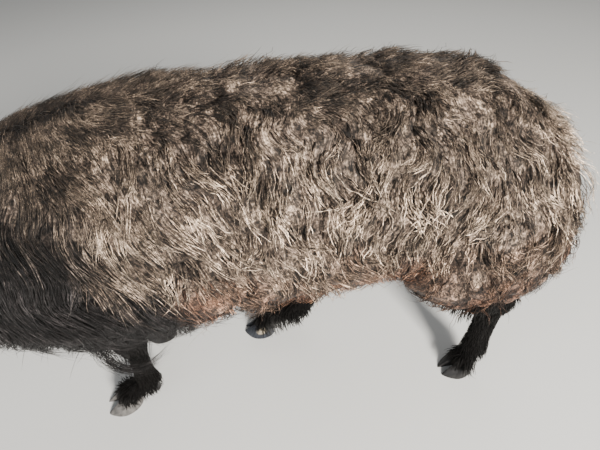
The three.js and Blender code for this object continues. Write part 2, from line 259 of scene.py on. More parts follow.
THIGH = np.array(
    [  # z, x, y, side, front, back
        (0.373, -0.270, 0.080, 0.048, 0.097, 0.106),
        (0.321, -0.262, 0.088, 0.068, 0.120, 0.124),
        (0.271, -0.257, 0.090, 0.068, 0.119, 0.128),
        (0.221, -0.260, 0.084, 0.058, 0.097, 0.112),
        (0.182, -0.278, 0.080, 0.043, 0.062, 0.076),
    ]
)
THIGH_REACH = {"hind_left": 0.0, "hind_right": 0.046}  # how far the foot of a thigh swings forward
TAIL = np.array(
    [
        (-0.360, 0, 0.398, 0.022, 0.012, 0.012),
        (-0.384, 0, 0.362, 0.027, 0.016, 0.016),
        (-0.394, 0, 0.316, 0.026, 0.015, 0.015),
        (-0.390, 0, 0.268, 0.016, 0.009, 0.009),
    ]
)


def thigh_stations(name):
    """A thigh's level sections as loft stations, its lower end swung forward by its own reach."""
    side = 1 if name.endswith("left") else -1
    z, x, y, out, front, back = THIGH.T
    swing = THIGH_REACH[name] * (1 - smooth(0.18, 0.35, z))
    return np.stack([x + swing, side * y, z, out, front, back], 1)


def body_surface(name, voxel):
    """Trunk, thighs and tail, each a closed loft, remeshed as one surface and smoothed."""
    lofts = [loft(TRUNK, 120, 96, (RUMP_DOME, 0.018), 2.25, FLEECE)]
    for thigh in THIGH_REACH:
        lofts.append(loft(thigh_stations(thigh), 40, 56, (0.03, 0.02), 2.2, THIGH_FLEECE, level=(0, 0, -1)))
    lofts.append(loft(TAIL, 30, 28, (0.012, 0.012), 2.2, 0.006))
    points, faces, start = [], [], 0
    for grid in lofts:
        p, f = closed(grid)
        points.append(p)
        faces.append(f + start)
        start += len(p)
    piece = new_piece(name, np.concatenate(points), np.concatenate(faces))
    remesh = piece.modifiers.new("one surface", "REMESH")
    remesh.mode, remesh.voxel_size = "VOXEL", voxel
    soften = piece.modifiers.new("soften", "SMOOTH")
    soften.factor, soften.iterations = 0.6, round(8 * (0.0058 / voxel) ** 2)
    return apply_modifiers(piece)


ewe = body_surface("ewe_skin", 0.0058)
BODY_POINTS, BODY_TRIS, BODY_NORMALS = arrays_of(ewe)
finer = body_surface("finer", 0.0042)
FINE_POINTS, FINE_TRIS, FINE_NORMALS = arrays_of(finer)
bpy.data.objects.remove(finer)
print("body skin:", len(BODY_TRIS), "triangles, finer", len(FINE_TRIS))

# %% [markdown]
# ## The head
#
# A sheep's head is a wedge: deep and wide at the cheeks and eyes, narrow and soft at the muzzle. It
# is one fine grid, so features are sculpted as soft bumps: each adds height along the surface's
# normal, falling off as a bell around a point. The eyelids are made by wrapping the grid round the
# eyeball outside an almond opening, and tucking it behind the ball inside the opening.

# %% Head
HAIR = 0.0015  # depth of the short hair on the face
HEAD = np.array(
    [  # share of the head's length, up from its axis, side, up, down
        (0.00, -0.002, 0.033, 0.030, 0.034),  # back of the skull
        (0.14, 0.000, 0.041, 0.039, 0.046),  # poll
        (0.27, 0.000, 0.046, 0.043, 0.056),  # temples
        (0.40, -0.002, 0.044, 0.041, 0.058),  # eyes
        (0.53, -0.004, 0.037, 0.035, 0.051),  # cheeks
        (0.66, -0.006, 0.030, 0.031, 0.041),  # bridge of the nose
        (0.80, -0.008, 0.026, 0.027, 0.031),  # muzzle
        (0.92, -0.010, 0.024, 0.024, 0.025),  # lips
    ]
)
# Soft forms of the face: place along, out and up, spread in each, and height. Each is mirrored.
FORMS = [
    ((0.078, 0.041, 0.025), (0.016, 0.010, 0.008), 0.0052),  # brow over the eye
    ((0.050, 0.045, 0.014), (0.012, 0.010, 0.010), -0.0026),  # hollow behind the eye
    ((0.102, 0.038, 0.000), (0.009, 0.008, 0.006), -0.0032),  # tear pit before the eye
    ((0.108, 0.036, -0.014), (0.022, 0.010, 0.006), 0.0028),  # crest of the cheek bone
    ((0.066, 0.042, -0.032), (0.024, 0.016, 0.018), 0.0040),  # chewing muscle
    ((0.108, 0.030, -0.040), (0.018, 0.016, 0.010), -0.0034),  # behind the chin, the jaw narrows
    ((0.146, 0.026, 0.002), (0.018, 0.010, 0.010), -0.0020),  # side of the nose
    ((0.180, 0.017, 0.008), (0.009, 0.008, 0.008), 0.0040),  # wing of the nostril
    ((0.176, 0.020, -0.010), (0.012, 0.010, 0.006), 0.0030),  # upper lip
    ((0.172, 0.010, -0.032), (0.014, 0.014, 0.007), 0.0034),  # lower lip and chin
    ((0.120, 0.000, 0.030), (0.034, 0.011, 0.010), 0.0022),  # bridge of the nose
    ((0.150, 0.000, 0.026), (0.022, 0.012, 0.010), -0.0010),  # dip before the nostrils
    ((0.040, 0.000, 0.042), (0.024, 0.020, 0.012), 0.0022),  # forehead
    ((0.197, 0.000, -0.004), (0.008, 0.0016, 0.010), -0.0022),  # groove between the nostrils
]


def mouth_line(x):
    """Height of the line where the lips meet: level at the front, rising a little at the corner."""
    return -0.0185 + 0.10 * np.maximum(0.160 - x, 0)


def sculpt_face(grid):
    """Adds the forms of the face to a head grid in the head's own frame, along its normals."""
    for _ in range(2):
        du = np.gradient(grid, axis=0)
        dv = np.roll(grid, -1, 1) - np.roll(grid, 1, 1)
        normal = -unit(np.cross(du, dv))
        normal *= np.sign((normal * (grid - grid.mean(1, keepdims=True))).sum(-1).mean())
        height = np.zeros(grid.shape[:2])
        for place, spread, rise in FORMS:
            away = (np.abs(grid) * [0, 1, 0] + grid * [1, 0, 1] - place) / np.array(spread)
            height += 0.5 * rise * np.exp(-(away**2).sum(-1))
        x, y, z = grid[..., 0], np.abs(grid[..., 1]), grid[..., 2]
        lips = np.exp(-(((z - mouth_line(x)) / 0.0016) ** 2)) * smooth(0.138, 0.150, x)
        slit = np.hypot((x - 0.1885 + 0.7 * (y - 0.012)) / 0.0034, (z - 0.002 - 0.45 * (y - 0.012)) / 0.0022)
        nostril = np.exp(-(slit**2)) * np.exp(-(((y - 0.0125) / 0.0065) ** 2))
        height += 0.5 * (-0.0034 * lips - 0.0085 * nostril)
        grid = grid + normal * height[..., None]
    return grid


def eye_axes(side):
    """Which way an eye looks, along the slit between its lids, and up across it, in the head's frame."""
    outward = unit(np.array([0.22, side * 0.95, 0.16]))
    slit = np.array([1.0, 0, -0.16])
    slit = unit(slit - outward * (slit @ outward))
    return outward, slit, np.cross(outward, slit) * -side


def lid_edge(a):
    """How far the almond between the lids reaches up and down at a place along it."""
    bow = np.clip(1 - (a / LID["length"]) ** 2, -3, 1)
    return LID["upper"] * bow, -LID["lower"] * bow


def wrap_lids(grid, side):
    """Round one eye: outside the almond between the lids the grid is lifted onto a ball a lid's
    thickness larger than the eyeball, inside it the grid is sunk behind the ball, and further off it
    fades into the face."""
    outward, slit, upward = eye_axes(side)
    v = grid - EYE * [1, side, 1]
    a, b, c = v @ slit, v @ upward, v @ outward
    top, bottom = lid_edge(a)
    outside = np.maximum(b - top, bottom - b)
    crease = np.exp(-(((outside - 0.0040) / 0.0011) ** 2)) * (b > 0)
    lid = EYE_RADIUS + LID["thick"] - 0.0009 * crease
    radius = (EYE_RADIUS - 0.0035) + (lid - EYE_RADIUS + 0.0035) * smooth(-0.0008, 0.0003, outside)
    flat = np.hypot(a, b)
    lifted = np.sqrt(np.maximum(radius**2 - flat**2, 0.003**2))
    near = (1 - smooth(0.0088, 0.0180, flat)) * (c > 0)
    return grid + outward * ((lifted - c) * near)[..., None]


def head_grid():
    """The head as one fine grid, its rings closer together at the eyes and the muzzle."""
    share, up, side, rise, fall = HEAD.T
    stations = np.stack([share * HEAD_LENGTH, 0 * up, up, side, rise, fall], 1)
    dense = np.linspace(0, 1, 4000)
    weight = 1 + 1.6 * np.exp(-(((dense - 0.43) / 0.12) ** 2)) + 1.0 * smooth(0.8, 1.0, dense)
    flow = np.cumsum(weight)
    t = np.interp(np.linspace(flow[0], flow[-1], 168), flow, dense)
    grid = loft(stations, 168, 176, (0.014, 0.08 * HEAD_LENGTH), 2.15, HAIR, share=t)
    low = np.clip(-grid[..., 2] / 0.06, 0, 1)
    grid[..., 1] *= 1 - 0.22 * low**1.5 * smooth(0.04, 0.12, grid[..., 0])
    grid = sculpt_face(grid)
    for hand in (1, -1):
        grid = wrap_lids(grid, hand)
    return grid


# %% [markdown]
# ## The ears
#
# A sheep's ear is a leaf of thin gristle, hollow towards the front, held out sideways and a little
# down. Its section is a thin ellipse bent into a shallow trough, which flattens out to the tip.

# %% Ears
EAR_LENGTH = 0.084
EAR_HALF_WIDTH = 0.021


def ear_grid(side):
    """A cupped leaf along a bowed path from the side of the poll to the tip."""
    root = in_head([0.024, side * 0.030, 0.019])
    bow = in_head([0.012, side * (0.034 + 0.5 * EAR_LENGTH), 0.021])
    tip = in_head([0.006, side * (0.034 + 0.93 * EAR_LENGTH), 0.006])
    path = np.array([root, root + 0.55 * (bow - root), bow, bow + 0.6 * (tip - bow), tip])
    wide = EAR_HALF_WIDTH * np.array([0.50, 0.84, 1.0, 0.74, 0.16])
    thick = np.array([0.0060, 0.0026, 0.0019, 0.0015, 0.0012])
    t = np.linspace(0, 1, 60)
    rows = catmull(np.column_stack([path, wide, thick]), t)
    along = unit(np.gradient(rows[:, :3], axis=0))
    edge = np.array([HEAD_AXES[0] * side]) - along * (along @ HEAD_AXES[0] * side)[:, None]
    edge = unit(edge)
    face = np.cross(along, edge)
    angle = np.linspace(0, 2 * math.pi, 44, endpoint=False)
    c, s = np.cos(angle), np.sin(angle)
    cup = -0.62 * (1 - smooth(0.6, 1, t)) * smooth(0, 0.2, t)
    a = rows[:, 3:4] * c
    b = rows[:, 4:5] * s + (cup * rows[:, 3])[:, None] * (c**2 - 0.5)
    grid = rows[:, None, :3] + edge[:, None] * a[..., None] + face[:, None] * b[..., None]
    return grid


# %% [markdown]
# ## The legs
#
# Below the wool each leg is bone and tendon under short hair. A leg is one loft through its joints:
# knee or hock, shank, fetlock, pastern and the coronet, where the horn begins. Soft forms add the
# knee cap, the point of the hock and the two grooves beside the tendon.

# %% Legs
LEGS = {
    "front_left": dict(fore=True, side=1, hoof=(0.262, 0.060, 0), toe_out=12, splay=8),
    "front_right": dict(fore=True, side=-1, hoof=(0.216, -0.068, 0), toe_out=5, splay=4),
    "hind_left": dict(fore=False, side=1, hoof=(-0.275, 0.086, 0), toe_out=6, splay=4),
    "hind_right": dict(fore=False, side=-1, hoof=(0.038, -0.047, 0), toe_out=14, splay=2),
}
STEP = {  # forward and upward offsets of each joint from the middle of the hoof
    "front_left": dict(fetlock=(-0.046, 0.053), bend=(-0.050, 0.148), top=(-0.036, 0.258)),
    "front_right": dict(fetlock=(-0.030, 0.056), bend=(-0.008, 0.152), top=(0.008, 0.258)),
    "hind_left": dict(fetlock=(-0.021, 0.056), bend=(-0.030, 0.172), top=(0.062, 0.262)),
    "hind_right": dict(fetlock=(-0.066, 0.047), bend=(-0.146, 0.138), top=(-0.168, 0.255)),
}
CORONET = (-0.012, 0.027)
FORE_SIZES = [(0.025, 0.028, 0.030), (0.021, 0.022, 0.020), (0.0145, 0.0155, 0.017), (0.014, 0.015, 0.017),
              (0.018, 0.015, 0.018), (0.017, 0.014, 0.014), (0.020, 0.019, 0.017)]
HIND_SIZES = [(0.034, 0.044, 0.040), (0.022, 0.024, 0.029), (0.016, 0.020, 0.021), (0.0155, 0.019, 0.021),
              (0.018, 0.019, 0.021), (0.017, 0.015, 0.015), (0.020, 0.019, 0.017)]
LEG_HAIR = 0.0025


def leg_joints(name):
    """The seven points a leg's loft runs through, from the forearm or gaskin to the coronet."""
    leg, step = LEGS[name], STEP[name]
    x, y, _ = leg["hoof"]

    def joint(offset, out=0.0):
        return np.array([x + offset[0], y + leg["side"] * out, offset[1]])

    bend, fetlock, coronet = joint(step["bend"], 0.002), joint(step["fetlock"]), joint(CORONET)
    top = joint(step["top"], 0.014)
    share = 0.55 if leg["fore"] else 0.42
    return np.array(
        [bend + share * (top - bend), bend, bend + 0.3 * (fetlock - bend), bend + 0.72 * (fetlock - bend),
         fetlock, fetlock + 0.5 * (coronet - fetlock), coronet]
    )


def leg_grid(name):
    """A leg's loft with its bumps: knee cap or point of the hock, tendon grooves, and fetlock tuft."""
    fore = LEGS[name]["fore"]
    joints = leg_joints(name)
    inside_hoof = joints[-1] + [0.006, 0, -0.013]
    sizes = (FORE_SIZES if fore else HIND_SIZES) + [(0.013, 0.012, 0.012)]
    stations = np.column_stack([np.vstack([joints, inside_hoof]), sizes])
    grid = loft(stations, 96, 40, (0.012, 0.004), 2.2, LEG_HAIR)
    middle = grid.mean(1, keepdims=True)
    outward = unit(grid - middle)
    height = np.zeros(grid.shape[:2])
    bend, fetlock = joints[1], joints[4]
    front = np.array([1.0, 0, 0])
    bumps = [(bend + front * 0.018, 0.013, 0.0025),
             (bend - front * 0.022 + [0, 0, 0.012], 0.012, 0.001 if fore else 0.0035),
             (fetlock - front * 0.016 + [0, 0, -0.004], 0.012, 0.0022)]
    for place, spread, rise in bumps:
        height += rise * np.exp(-(((grid - place) / spread) ** 2).sum(-1))
    along = np.clip((bend[2] - middle[..., 2]) / (bend[2] - fetlock[2]), 0, 1)
    groove = np.exp(-(((outward[..., 0] + 0.25) / 0.16) ** 2)) * smooth(0.15, 0.35, along)
    height -= 0.0022 * (groove * (1 - smooth(0.75, 0.95, along)))
    return grid + outward * height[..., None]


# %% Join head, ears and legs to the body as one skin
def unite(base, grid, name):
    """Adds a closed grid to the skin by a boolean union, so that the skin stays one surface."""
    points, faces = closed(grid)
    other = new_piece(name, points, faces)
    join = base.modifiers.new("join", "BOOLEAN")
    join.operation, join.solver, join.object = "UNION", "MANIFOLD", other
    apply_modifiers(base)
    bpy.data.objects.remove(other)
    return base


head = in_head(head_grid())
unite(ewe, head, "head_part")
for hand in (1, -1):
    unite(ewe, ear_grid(hand), "ear_part")
for leg_name in LEGS:
    unite(ewe, leg_grid(leg_name), "leg_part")
SKIN_POINTS, SKIN_TRIS, SKIN_NORMALS = arrays_of(ewe)
print("whole skin:", len(SKIN_TRIS), "triangles")

# %% [markdown]
# ## Materials
#
# Every finish is made of nodes that read the piece's own attributes or its Object coordinates. Wool
# is dark at its root and bleached at its tip by the sun. Short hair is nearly black with a faint
# sheen. Horn has growth rings round the claw.

# %% Material helpers
def material(name, **sockets):
    """A material with one Principled shader, whose constants are set on its own sockets."""
    made = bpy.data.materials.new(name)
    made.use_nodes = True
    shader = made.node_tree.nodes["Principled BSDF"]
    for key, value in sockets.items():
        shader.inputs[key.replace("_", " ")].default_value = value
    return made, made.node_tree.nodes, made.node_tree.links, shader


def node(nodes, kind, **settings):
    """A new node with its properties or input values set."""
    made = nodes.new(kind)
    for key, value in settings.items():
        if key in made.inputs:
            made.inputs[key].default_value = value
        else:
            setattr(made, key, value)
    return made


def attribute(nodes, name):
    """The Fac output of a named attribute of the piece."""
    return node(nodes, "ShaderNodeAttribute", attribute_name=name).outputs["Fac"]


def scaled(nodes, links, socket, factor):
    """A socket's value times a number."""
    made = node(nodes, "ShaderNodeMath", operation="MULTIPLY")
    links.new(socket, made.inputs[0])
    made.inputs[1].default_value = factor
    return made.outputs["Value"]


def ramp(nodes, links, factor, stops):
    """A colour ramp through (place, colour) stops, fed by a socket."""
    made = nodes.new("ShaderNodeValToRGB")
    elements = made.color_ramp.elements
    while len(elements) < len(stops):
        elements.new(0.5)
    for element, (place, colour) in zip(elements, stops):
        element.position, element.color = place, (*colour, 1)
    links.new(factor, made.inputs["Fac"])
    return made.outputs["Color"]


def mixed(nodes, links, factor, a, b, blend="MIX"):
    """Two colours mixed by a socket or a number."""
    made = node(nodes, "ShaderNodeMix", data_type="RGBA", blend_type=blend)
    for socket, value in ((made.inputs["Factor"], factor), (made.inputs["A"], a), (made.inputs["B"], b)):
        if hasattr(value, "links"):
            links.new(value, socket)
        elif socket.type == "RGBA":
            socket.default_value = (*value, 1)
        else:
            socket.default_value = value
    return made.outputs["Result"]


# %% Wool, short hair, horn and eye
def wool_material():
    """Dark root to bleached tip along each lock, streaked lengthwise by its fibres, partly by their own
    tone and partly by painted shade between them and painted highlights on them; painted glints on the
    crests of the crimped wool and painted shade between them, in waves of about a third of a centimetre
    to three centimetres; times the tone of the strand, which carries painted light and shade too; rusty
    under the flank, and darker on the neck, partly the wool's own colour and partly painted shadow."""
    made, nodes, links, shader = material("fleece wool", Roughness=0.65, Sheen_Weight=0.03,
                                          Sheen_Roughness=0.4, Specular_IOR_Level=0.14)
    along = attribute(nodes, "along")
    place = node(nodes, "ShaderNodeCombineXYZ")
    for axis, key, factor in (("X", "across", 3.4), ("Y", "along", 3.0), ("Z", "grain", 110.0)):
        links.new(scaled(nodes, links, attribute(nodes, key), factor), place.inputs[axis])
    streaks = node(nodes, "ShaderNodeTexNoise", Scale=1.0, Detail=5.0, Roughness=0.75, Distortion=1.0)
    links.new(place.outputs["Vector"], streaks.inputs["Vector"])
    brown = ramp(nodes, links, along, [(0.0, (0.014, 0.010, 0.008)), (0.3, (0.085, 0.062, 0.047)),
                                       (0.6, (0.225, 0.168, 0.122)), (1.0, (0.450, 0.352, 0.265))])
    rust = ramp(nodes, links, along, [(0.0, (0.012, 0.007, 0.005)), (0.3, (0.075, 0.036, 0.022)),
                                      (0.65, (0.220, 0.100, 0.056)), (1.0, (0.450, 0.220, 0.125))])
    # Near-black wool of neck, breast and shoulder: partly the wool's own darker colour, partly painted
    # shadow.
    dark = ramp(nodes, links, along, [(0.0, (0.002, 0.002, 0.002)), (0.5, (0.006, 0.0052, 0.0055)),
                                      (1.0, (0.026, 0.0235, 0.025))])
    colour = mixed(nodes, links, attribute(nodes, "rust"), brown, rust)
    colour = mixed(nodes, links, attribute(nodes, "dark"), colour, dark)
    # Streaks along the fibres: partly the fibres' own tone, partly painted shade between them and painted
    # highlights on them.
    fibre_tone_and_painted_shade = ramp(nodes, links, streaks.outputs["Fac"], [(0.42, (0.20, 0.20, 0.20)), (0.60, (1.7, 1.7, 1.7))])
    colour = mixed(nodes, links, 1.0, colour, fibre_tone_and_painted_shade, "MULTIPLY")
    # Painted glints on the crests of the crimped wool and painted shade between them, in waves of four sizes.
    body = nodes.new("ShaderNodeTexCoord")
    waves = ((body.outputs["Object"], 34.0, 0.45, 1.30), (body.outputs["Object"], 95.0, 0.36, 1.70),
             (body.outputs["Object"], 380.0, 0.50, 1.50), (place.outputs["Vector"], 4.5, 0.36, 1.70))
    for source, scale, shade, glint in waves:
        crimp_glint_noise = node(nodes, "ShaderNodeTexNoise", Scale=scale, Detail=3.0, Roughness=0.62)
        links.new(source, crimp_glint_noise.inputs["Vector"])
        painted_glint_and_shade = ramp(nodes, links, crimp_glint_noise.outputs["Fac"], [(0.40, (shade,) * 3), (0.60, (glint,) * 3)])
        colour = mixed(nodes, links, 1.0, colour, painted_glint_and_shade, "MULTIPLY")
    tone = node(nodes, "ShaderNodeCombineColor")
    for channel in ("Red", "Green", "Blue"):
        links.new(attribute(nodes, "tone"), tone.inputs[channel])
    colour = mixed(nodes, links, 1.0, colour, tone.outputs["Color"], "MULTIPLY")
    links.new(colour, shader.inputs["Base Color"])
    bump = node(nodes, "ShaderNodeBump", Strength=0.8, Distance=0.0012)
    links.new(streaks.outputs["Fac"], bump.inputs["Height"])
    links.new(bump.outputs["Normal"], shader.inputs["Normal"])
    return made


def skin_material():
    """Nearly black: short hair on face and legs, and the dark root layer under the wool."""
    made, nodes, links, shader = material("short black hair", Roughness=0.6, Specular_IOR_Level=0.05)
    place = nodes.new("ShaderNodeTexCoord")
    fine = node(nodes, "ShaderNodeTexNoise", Scale=900.0, Detail=3.0)
    broad = node(nodes, "ShaderNodeTexNoise", Scale=60.0, Detail=4.0)
    for noise in (fine, broad):
        links.new(place.outputs["Object"], noise.inputs["Vector"])
    hair = ramp(nodes, links, broad.outputs["Fac"],
                [(0.3, (0.0016, 0.0014, 0.0013)), (0.7, (0.0040, 0.0034, 0.0032))])
    face = ramp(nodes, links, broad.outputs["Fac"],
                [(0.3, (0.0080, 0.0068, 0.0062)), (0.7, (0.0180, 0.0152, 0.0138))])
    links.new(mixed(nodes, links, attribute(nodes, "face"), hair, face), shader.inputs["Base Color"])
    bump = node(nodes, "ShaderNodeBump", Strength=0.5, Distance=0.0006)
    links.new(fine.outputs["Fac"], bump.inputs["Height"])
    links.new(bump.outputs["Normal"], shader.inputs["Normal"])
    return made


def hair_material():
    """Short black hair as small tufts on face and legs."""
    made, nodes, links, shader = material("short hair tufts", Roughness=0.5, Specular_IOR_Level=0.08)
    along = attribute(nodes, "along")
    black = ramp(nodes, links, along, [(0.0, (0.0012, 0.0011, 0.0010)), (1.0, (0.0060, 0.0052, 0.0048))])
    pale = ramp(nodes, links, along, [(0.0, (0.05, 0.048, 0.046)), (1.0, (0.20, 0.195, 0.19))])
    face = ramp(nodes, links, along, [(0.0, (0.0070, 0.0060, 0.0054)), (1.0, (0.0280, 0.0235, 0.0210))])
    black = mixed(nodes, links, attribute(nodes, "face"), black, face)
    links.new(mixed(nodes, links, attribute(nodes, "pale"), black, pale), shader.inputs["Base Color"])
    return made


def horn_material(name, low, high, spot=None):
    """Hoof horn: growth rings across the claw and streaks down it; spot is a pale oval, if any."""
    made, nodes, links, shader = material(name, Roughness=0.5, Specular_IOR_Level=0.3)
    place = nodes.new("ShaderNodeTexCoord")
    scale = node(nodes, "ShaderNodeMapping", Scale=(40, 40, 260))
    links.new(place.outputs["Object"], scale.inputs["Vector"])
    rings = node(nodes, "ShaderNodeTexNoise", Scale=1.0, Detail=3.0)
    links.new(scale.outputs["Vector"], rings.inputs["Vector"])
    streak_scale = node(nodes, "ShaderNodeMapping", Scale=(120, 420, 30))
    links.new(place.outputs["Object"], streak_scale.inputs["Vector"])
    streaks = node(nodes, "ShaderNodeTexNoise", Scale=1.0, Detail=4.0)
    links.new(streak_scale.outputs["Vector"], streaks.inputs["Vector"])
    colour = ramp(nodes, links, streaks.outputs["Fac"], [(0.3, low), (0.7, high)])
    if spot is not None:
        tight = (90, 90, 150)  # one over the half width in metres, each way, at which the spot ends
        away = node(nodes, "ShaderNodeMapping", vector_type="POINT", Scale=tight,
                    Location=tuple(-np.array(spot) * tight))
        links.new(place.outputs["Object"], away.inputs["Vector"])
        ball = nodes.new("ShaderNodeVectorMath")
        ball.operation = "LENGTH"
        links.new(away.outputs["Vector"], ball.inputs[0])
        inside = ramp(nodes, links, ball.outputs["Value"], [(0.55, (1, 1, 1)), (0.95, (0, 0, 0))])
        colour = mixed(nodes, links, inside, colour, (0.30, 0.255, 0.19))
    links.new(colour, shader.inputs["Base Color"])
    bump = node(nodes, "ShaderNodeBump", Strength=0.6, Distance=0.0008)
    links.new(rings.outputs["Fac"], bump.inputs["Height"])
    links.new(bump.outputs["Normal"], shader.inputs["Normal"])
    return made


WOOL = wool_material()
SKIN = skin_material()
HAIRS = hair_material()
ewe.data.materials.clear()
ewe.data.materials.append(SKIN)
ewe.data.polygons.foreach_set("use_smooth", np.ones(len(ewe.data.polygons), bool))
face_share = smooth(-0.02, 0.01, ((SKIN_POINTS - POLL) @ HEAD_AXES.T)[:, 0]) * (SKIN_POINTS[:, 2] > 0.15)
ewe.data.attributes.new("face", "FLOAT", "POINT").data.foreach_set("value", face_share)
flesh = ["trunk_rump", "trunk_barrel", "trunk_shoulders", "neck", "thigh_left", "thigh_right", "tail", "head",
         "ear_left", "ear_right"] + ["leg_" + leg_name for leg_name in LEGS]
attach(ewe, "root")
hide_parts(*flesh)
print("materials:", [m.name for m in bpy.data.materials if m.users])

# %% [markdown]
# ## Eyes
#
# A sheep's eye shows almost no white: a dark amber iris fills the opening, with a pupil that is a
# level slot. The ball carries its pattern by its own attributes: how far each point lies from the
# pupil's axis, and where it lies across and up. When a sheep lowers her head her eyes roll in their
# sockets, so the slot stays nearly level. A thin bare rim edges the lids.

# %% Eyes
def eye_material():
    """Iris by distance from the axis, a rounded slot for the pupil, and a wet clear coat."""
    made, nodes, links, shader = material("wet eye", Roughness=0.12, Coat_Weight=0.5, Coat_Roughness=0.02)
    stops = [(0.0, (0.016, 0.008, 0.004)), (0.30, (0.062, 0.027, 0.008)), (0.62, (0.036, 0.015, 0.005)),
             (0.78, (0.005, 0.003, 0.003)), (1.0, (0.016, 0.012, 0.010))]
    iris = ramp(nodes, links, attribute(nodes, "rim"), stops)
    colour = mixed(nodes, links, attribute(nodes, "pupil"), iris, (0.002, 0.002, 0.003))
    links.new(colour, shader.inputs["Base Color"])
    return made


PUPIL_TURN = math.radians(36)  # how far the eye has rolled back to level


def eyeball(side, finish):
    """A ball of rings about the axis that the eye looks along, with a slightly raised cornea."""
    outward, _, _ = eye_axes(side)
    level = np.array([math.cos(PUPIL_TURN), 0, math.sin(PUPIL_TURN)])
    slit = unit(level - outward * (level @ outward))
    upward = np.cross(outward, slit) * -side
    polar = np.linspace(0.02, math.pi - 0.02, 60)
    turn = np.linspace(0, 2 * math.pi, 72, endpoint=False) * side
    radius = EYE_RADIUS * (1 + 0.035 * np.exp(-((polar / 0.55) ** 2)))
    across = np.cos(turn)[None] * np.sin(polar)[:, None]
    up = np.sin(turn)[None] * np.sin(polar)[:, None]
    out = np.cos(polar)[:, None] * np.ones_like(across)
    local = across[..., None] * slit + up[..., None] * upward + out[..., None] * outward
    points, faces = closed(in_head(EYE * [1, side, 1] + local * radius[:, None, None])[::-1])
    place = np.vstack([np.stack([across, up, out], -1)[::-1].reshape(-1, 3), [[0, 0, -1], [0, 0, 1]]])
    rim = np.clip(np.arctan2(np.hypot(place[:, 0], place[:, 1]), place[:, 2]) / 1.05, 0, 1)
    slot = (np.abs(place[:, 0] / 0.36) ** 4 + np.abs(place[:, 1] / 0.135) ** 4) ** 0.25
    pupil = (1 - smooth(0.9, 1.15, slot)) * (place[:, 2] > 0)
    hand = "left" if side > 0 else "right"
    piece = new_piece(f"eyeball_{hand}", points, faces, finish, dict(rim=rim, pupil=pupil))
    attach(piece, "root")
    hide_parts(f"eye_{hand}")


def lid_rim(side, finish):
    """A thin closed tube that runs round the almond between the lids, on the ball that carries them."""
    outward, slit, upward = eye_axes(side)
    t = np.linspace(0, 2 * math.pi, 72, endpoint=False)
    a = LID["length"] * np.cos(t)
    top, bottom = lid_edge(a)
    b = np.where(np.sin(t) > 0, top, bottom)
    b += 0.0004 * np.sign(np.sin(t))
    c = np.sqrt((EYE_RADIUS + LID["thick"] - 0.0005) ** 2 - a**2 - b**2)
    path = a[:, None] * slit + b[:, None] * upward + c[:, None] * outward
    ahead = unit(np.roll(path, -1, 0) - np.roll(path, 1, 0))
    out = unit(path)
    across = np.cross(ahead, out)
    turn = np.linspace(0, 2 * math.pi, 10, endpoint=False)[None, :, None] * side
    ring = 0.00095 * (np.cos(turn) * across[:, None] + np.sin(turn) * out[:, None])
    grid = in_head(EYE * [1, side, 1] + path[:, None] + ring)
    r, k = np.meshgrid(np.arange(72), np.arange(10), indexing="ij")
    p = r * 10 + k
    q, u, w = r * 10 + (k + 1) % 10, (r + 1) % 72 * 10 + k, (r + 1) % 72 * 10 + (k + 1) % 10
    faces = np.stack([p, q, w, u], -1).reshape(-1, 4)[:, ::-1]
    piece = new_piece(f"lid_rim_{'left' if side > 0 else 'right'}", grid.reshape(-1, 3), faces, finish)
    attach(piece, "root")


EYE_FINISH = eye_material()
RIM_FINISH = material("bare lid rim", Base_Color=(0.006, 0.005, 0.005, 1), Roughness=0.3)[0]
for hand in (1, -1):
    eyeball(hand, EYE_FINISH)
    lid_rim(hand, RIM_FINISH)
print("eyes made")

# %% [markdown]
# ## Hooves
#
# A sheep walks on the two claws of each foot. Each claw has a straight inner wall, a rounded outer
# wall and a pointed toe, on a flat sole. The formula is the solids' own, on a finer grid, with a
# slight curl of the wall and the edge of the sole rounded. Behind the fetlock sit two dewclaws.

# %% Claws and dewclaws
CLAW = dict(length=0.054, width=0.0185, front=0.026, heel=0.015, toe=0.030, gap=0.0034)


def placed_on_hoof(points, name):
    """Carries points from a foot's own frame to where that foot stands, toe turned out."""
    leg = LEGS[name]
    turn = math.radians(leg["side"] * leg["toe_out"])
    c, s = math.cos(turn), math.sin(turn)
    x, y, z = points[..., 0], points[..., 1], points[..., 2]
    return np.stack([x * c - y * s, x * s + y * c, z], -1) + np.array(leg["hoof"])


def claw_grid(name, half):
    """A claw's wall, from the sole up: each level is a half almond that draws in at the toe."""
    rise = np.concatenate([[0, 0, 0.03], np.linspace(0.07, 1, 22), [1.03, 1.05]])[:, None]
    inset = np.concatenate([[0.0012, 0.0004, 0.0], np.zeros(22), [0.0008, 0.0030]])[:, None]
    angle = np.linspace(0, 2 * math.pi, 48, endpoint=False)[None]
    c, s = np.cos(angle), np.sin(angle)
    level = np.clip(rise, 0, 1)
    reach = CLAW["length"] / 2 - np.where(c > 0, CLAW["toe"] * level**1.12, 0.003 * level) - inset
    x = reach * c
    outer = half * s > 0
    swell = np.where(outer, CLAW["width"] * (1 - 0.12 * level) * (1 - 0.45 * np.clip(c, 0, 1) ** 2), 0.0012)
    y = half * (CLAW["gap"] / 2 + 0.0012) + (swell - inset * outer) * s
    slope = np.clip(0.5 + x / (CLAW["length"] - CLAW["toe"]), 0, 1)
    top = CLAW["heel"] + (CLAW["front"] - CLAW["heel"]) * slope
    z = np.maximum(rise, 0) * top
    grid = np.stack([x + CLAW["length"] / 2, y + 0 * x, z + 0 * x], -1)
    turn = math.radians(half * LEGS[name]["splay"])
    c, s = math.cos(turn), math.sin(turn)
    x, y, z = grid[..., 0], grid[..., 1], grid[..., 2]
    return placed_on_hoof(np.stack([x * c - y * s - CLAW["length"] / 2, x * s + y * c, z], -1), name)


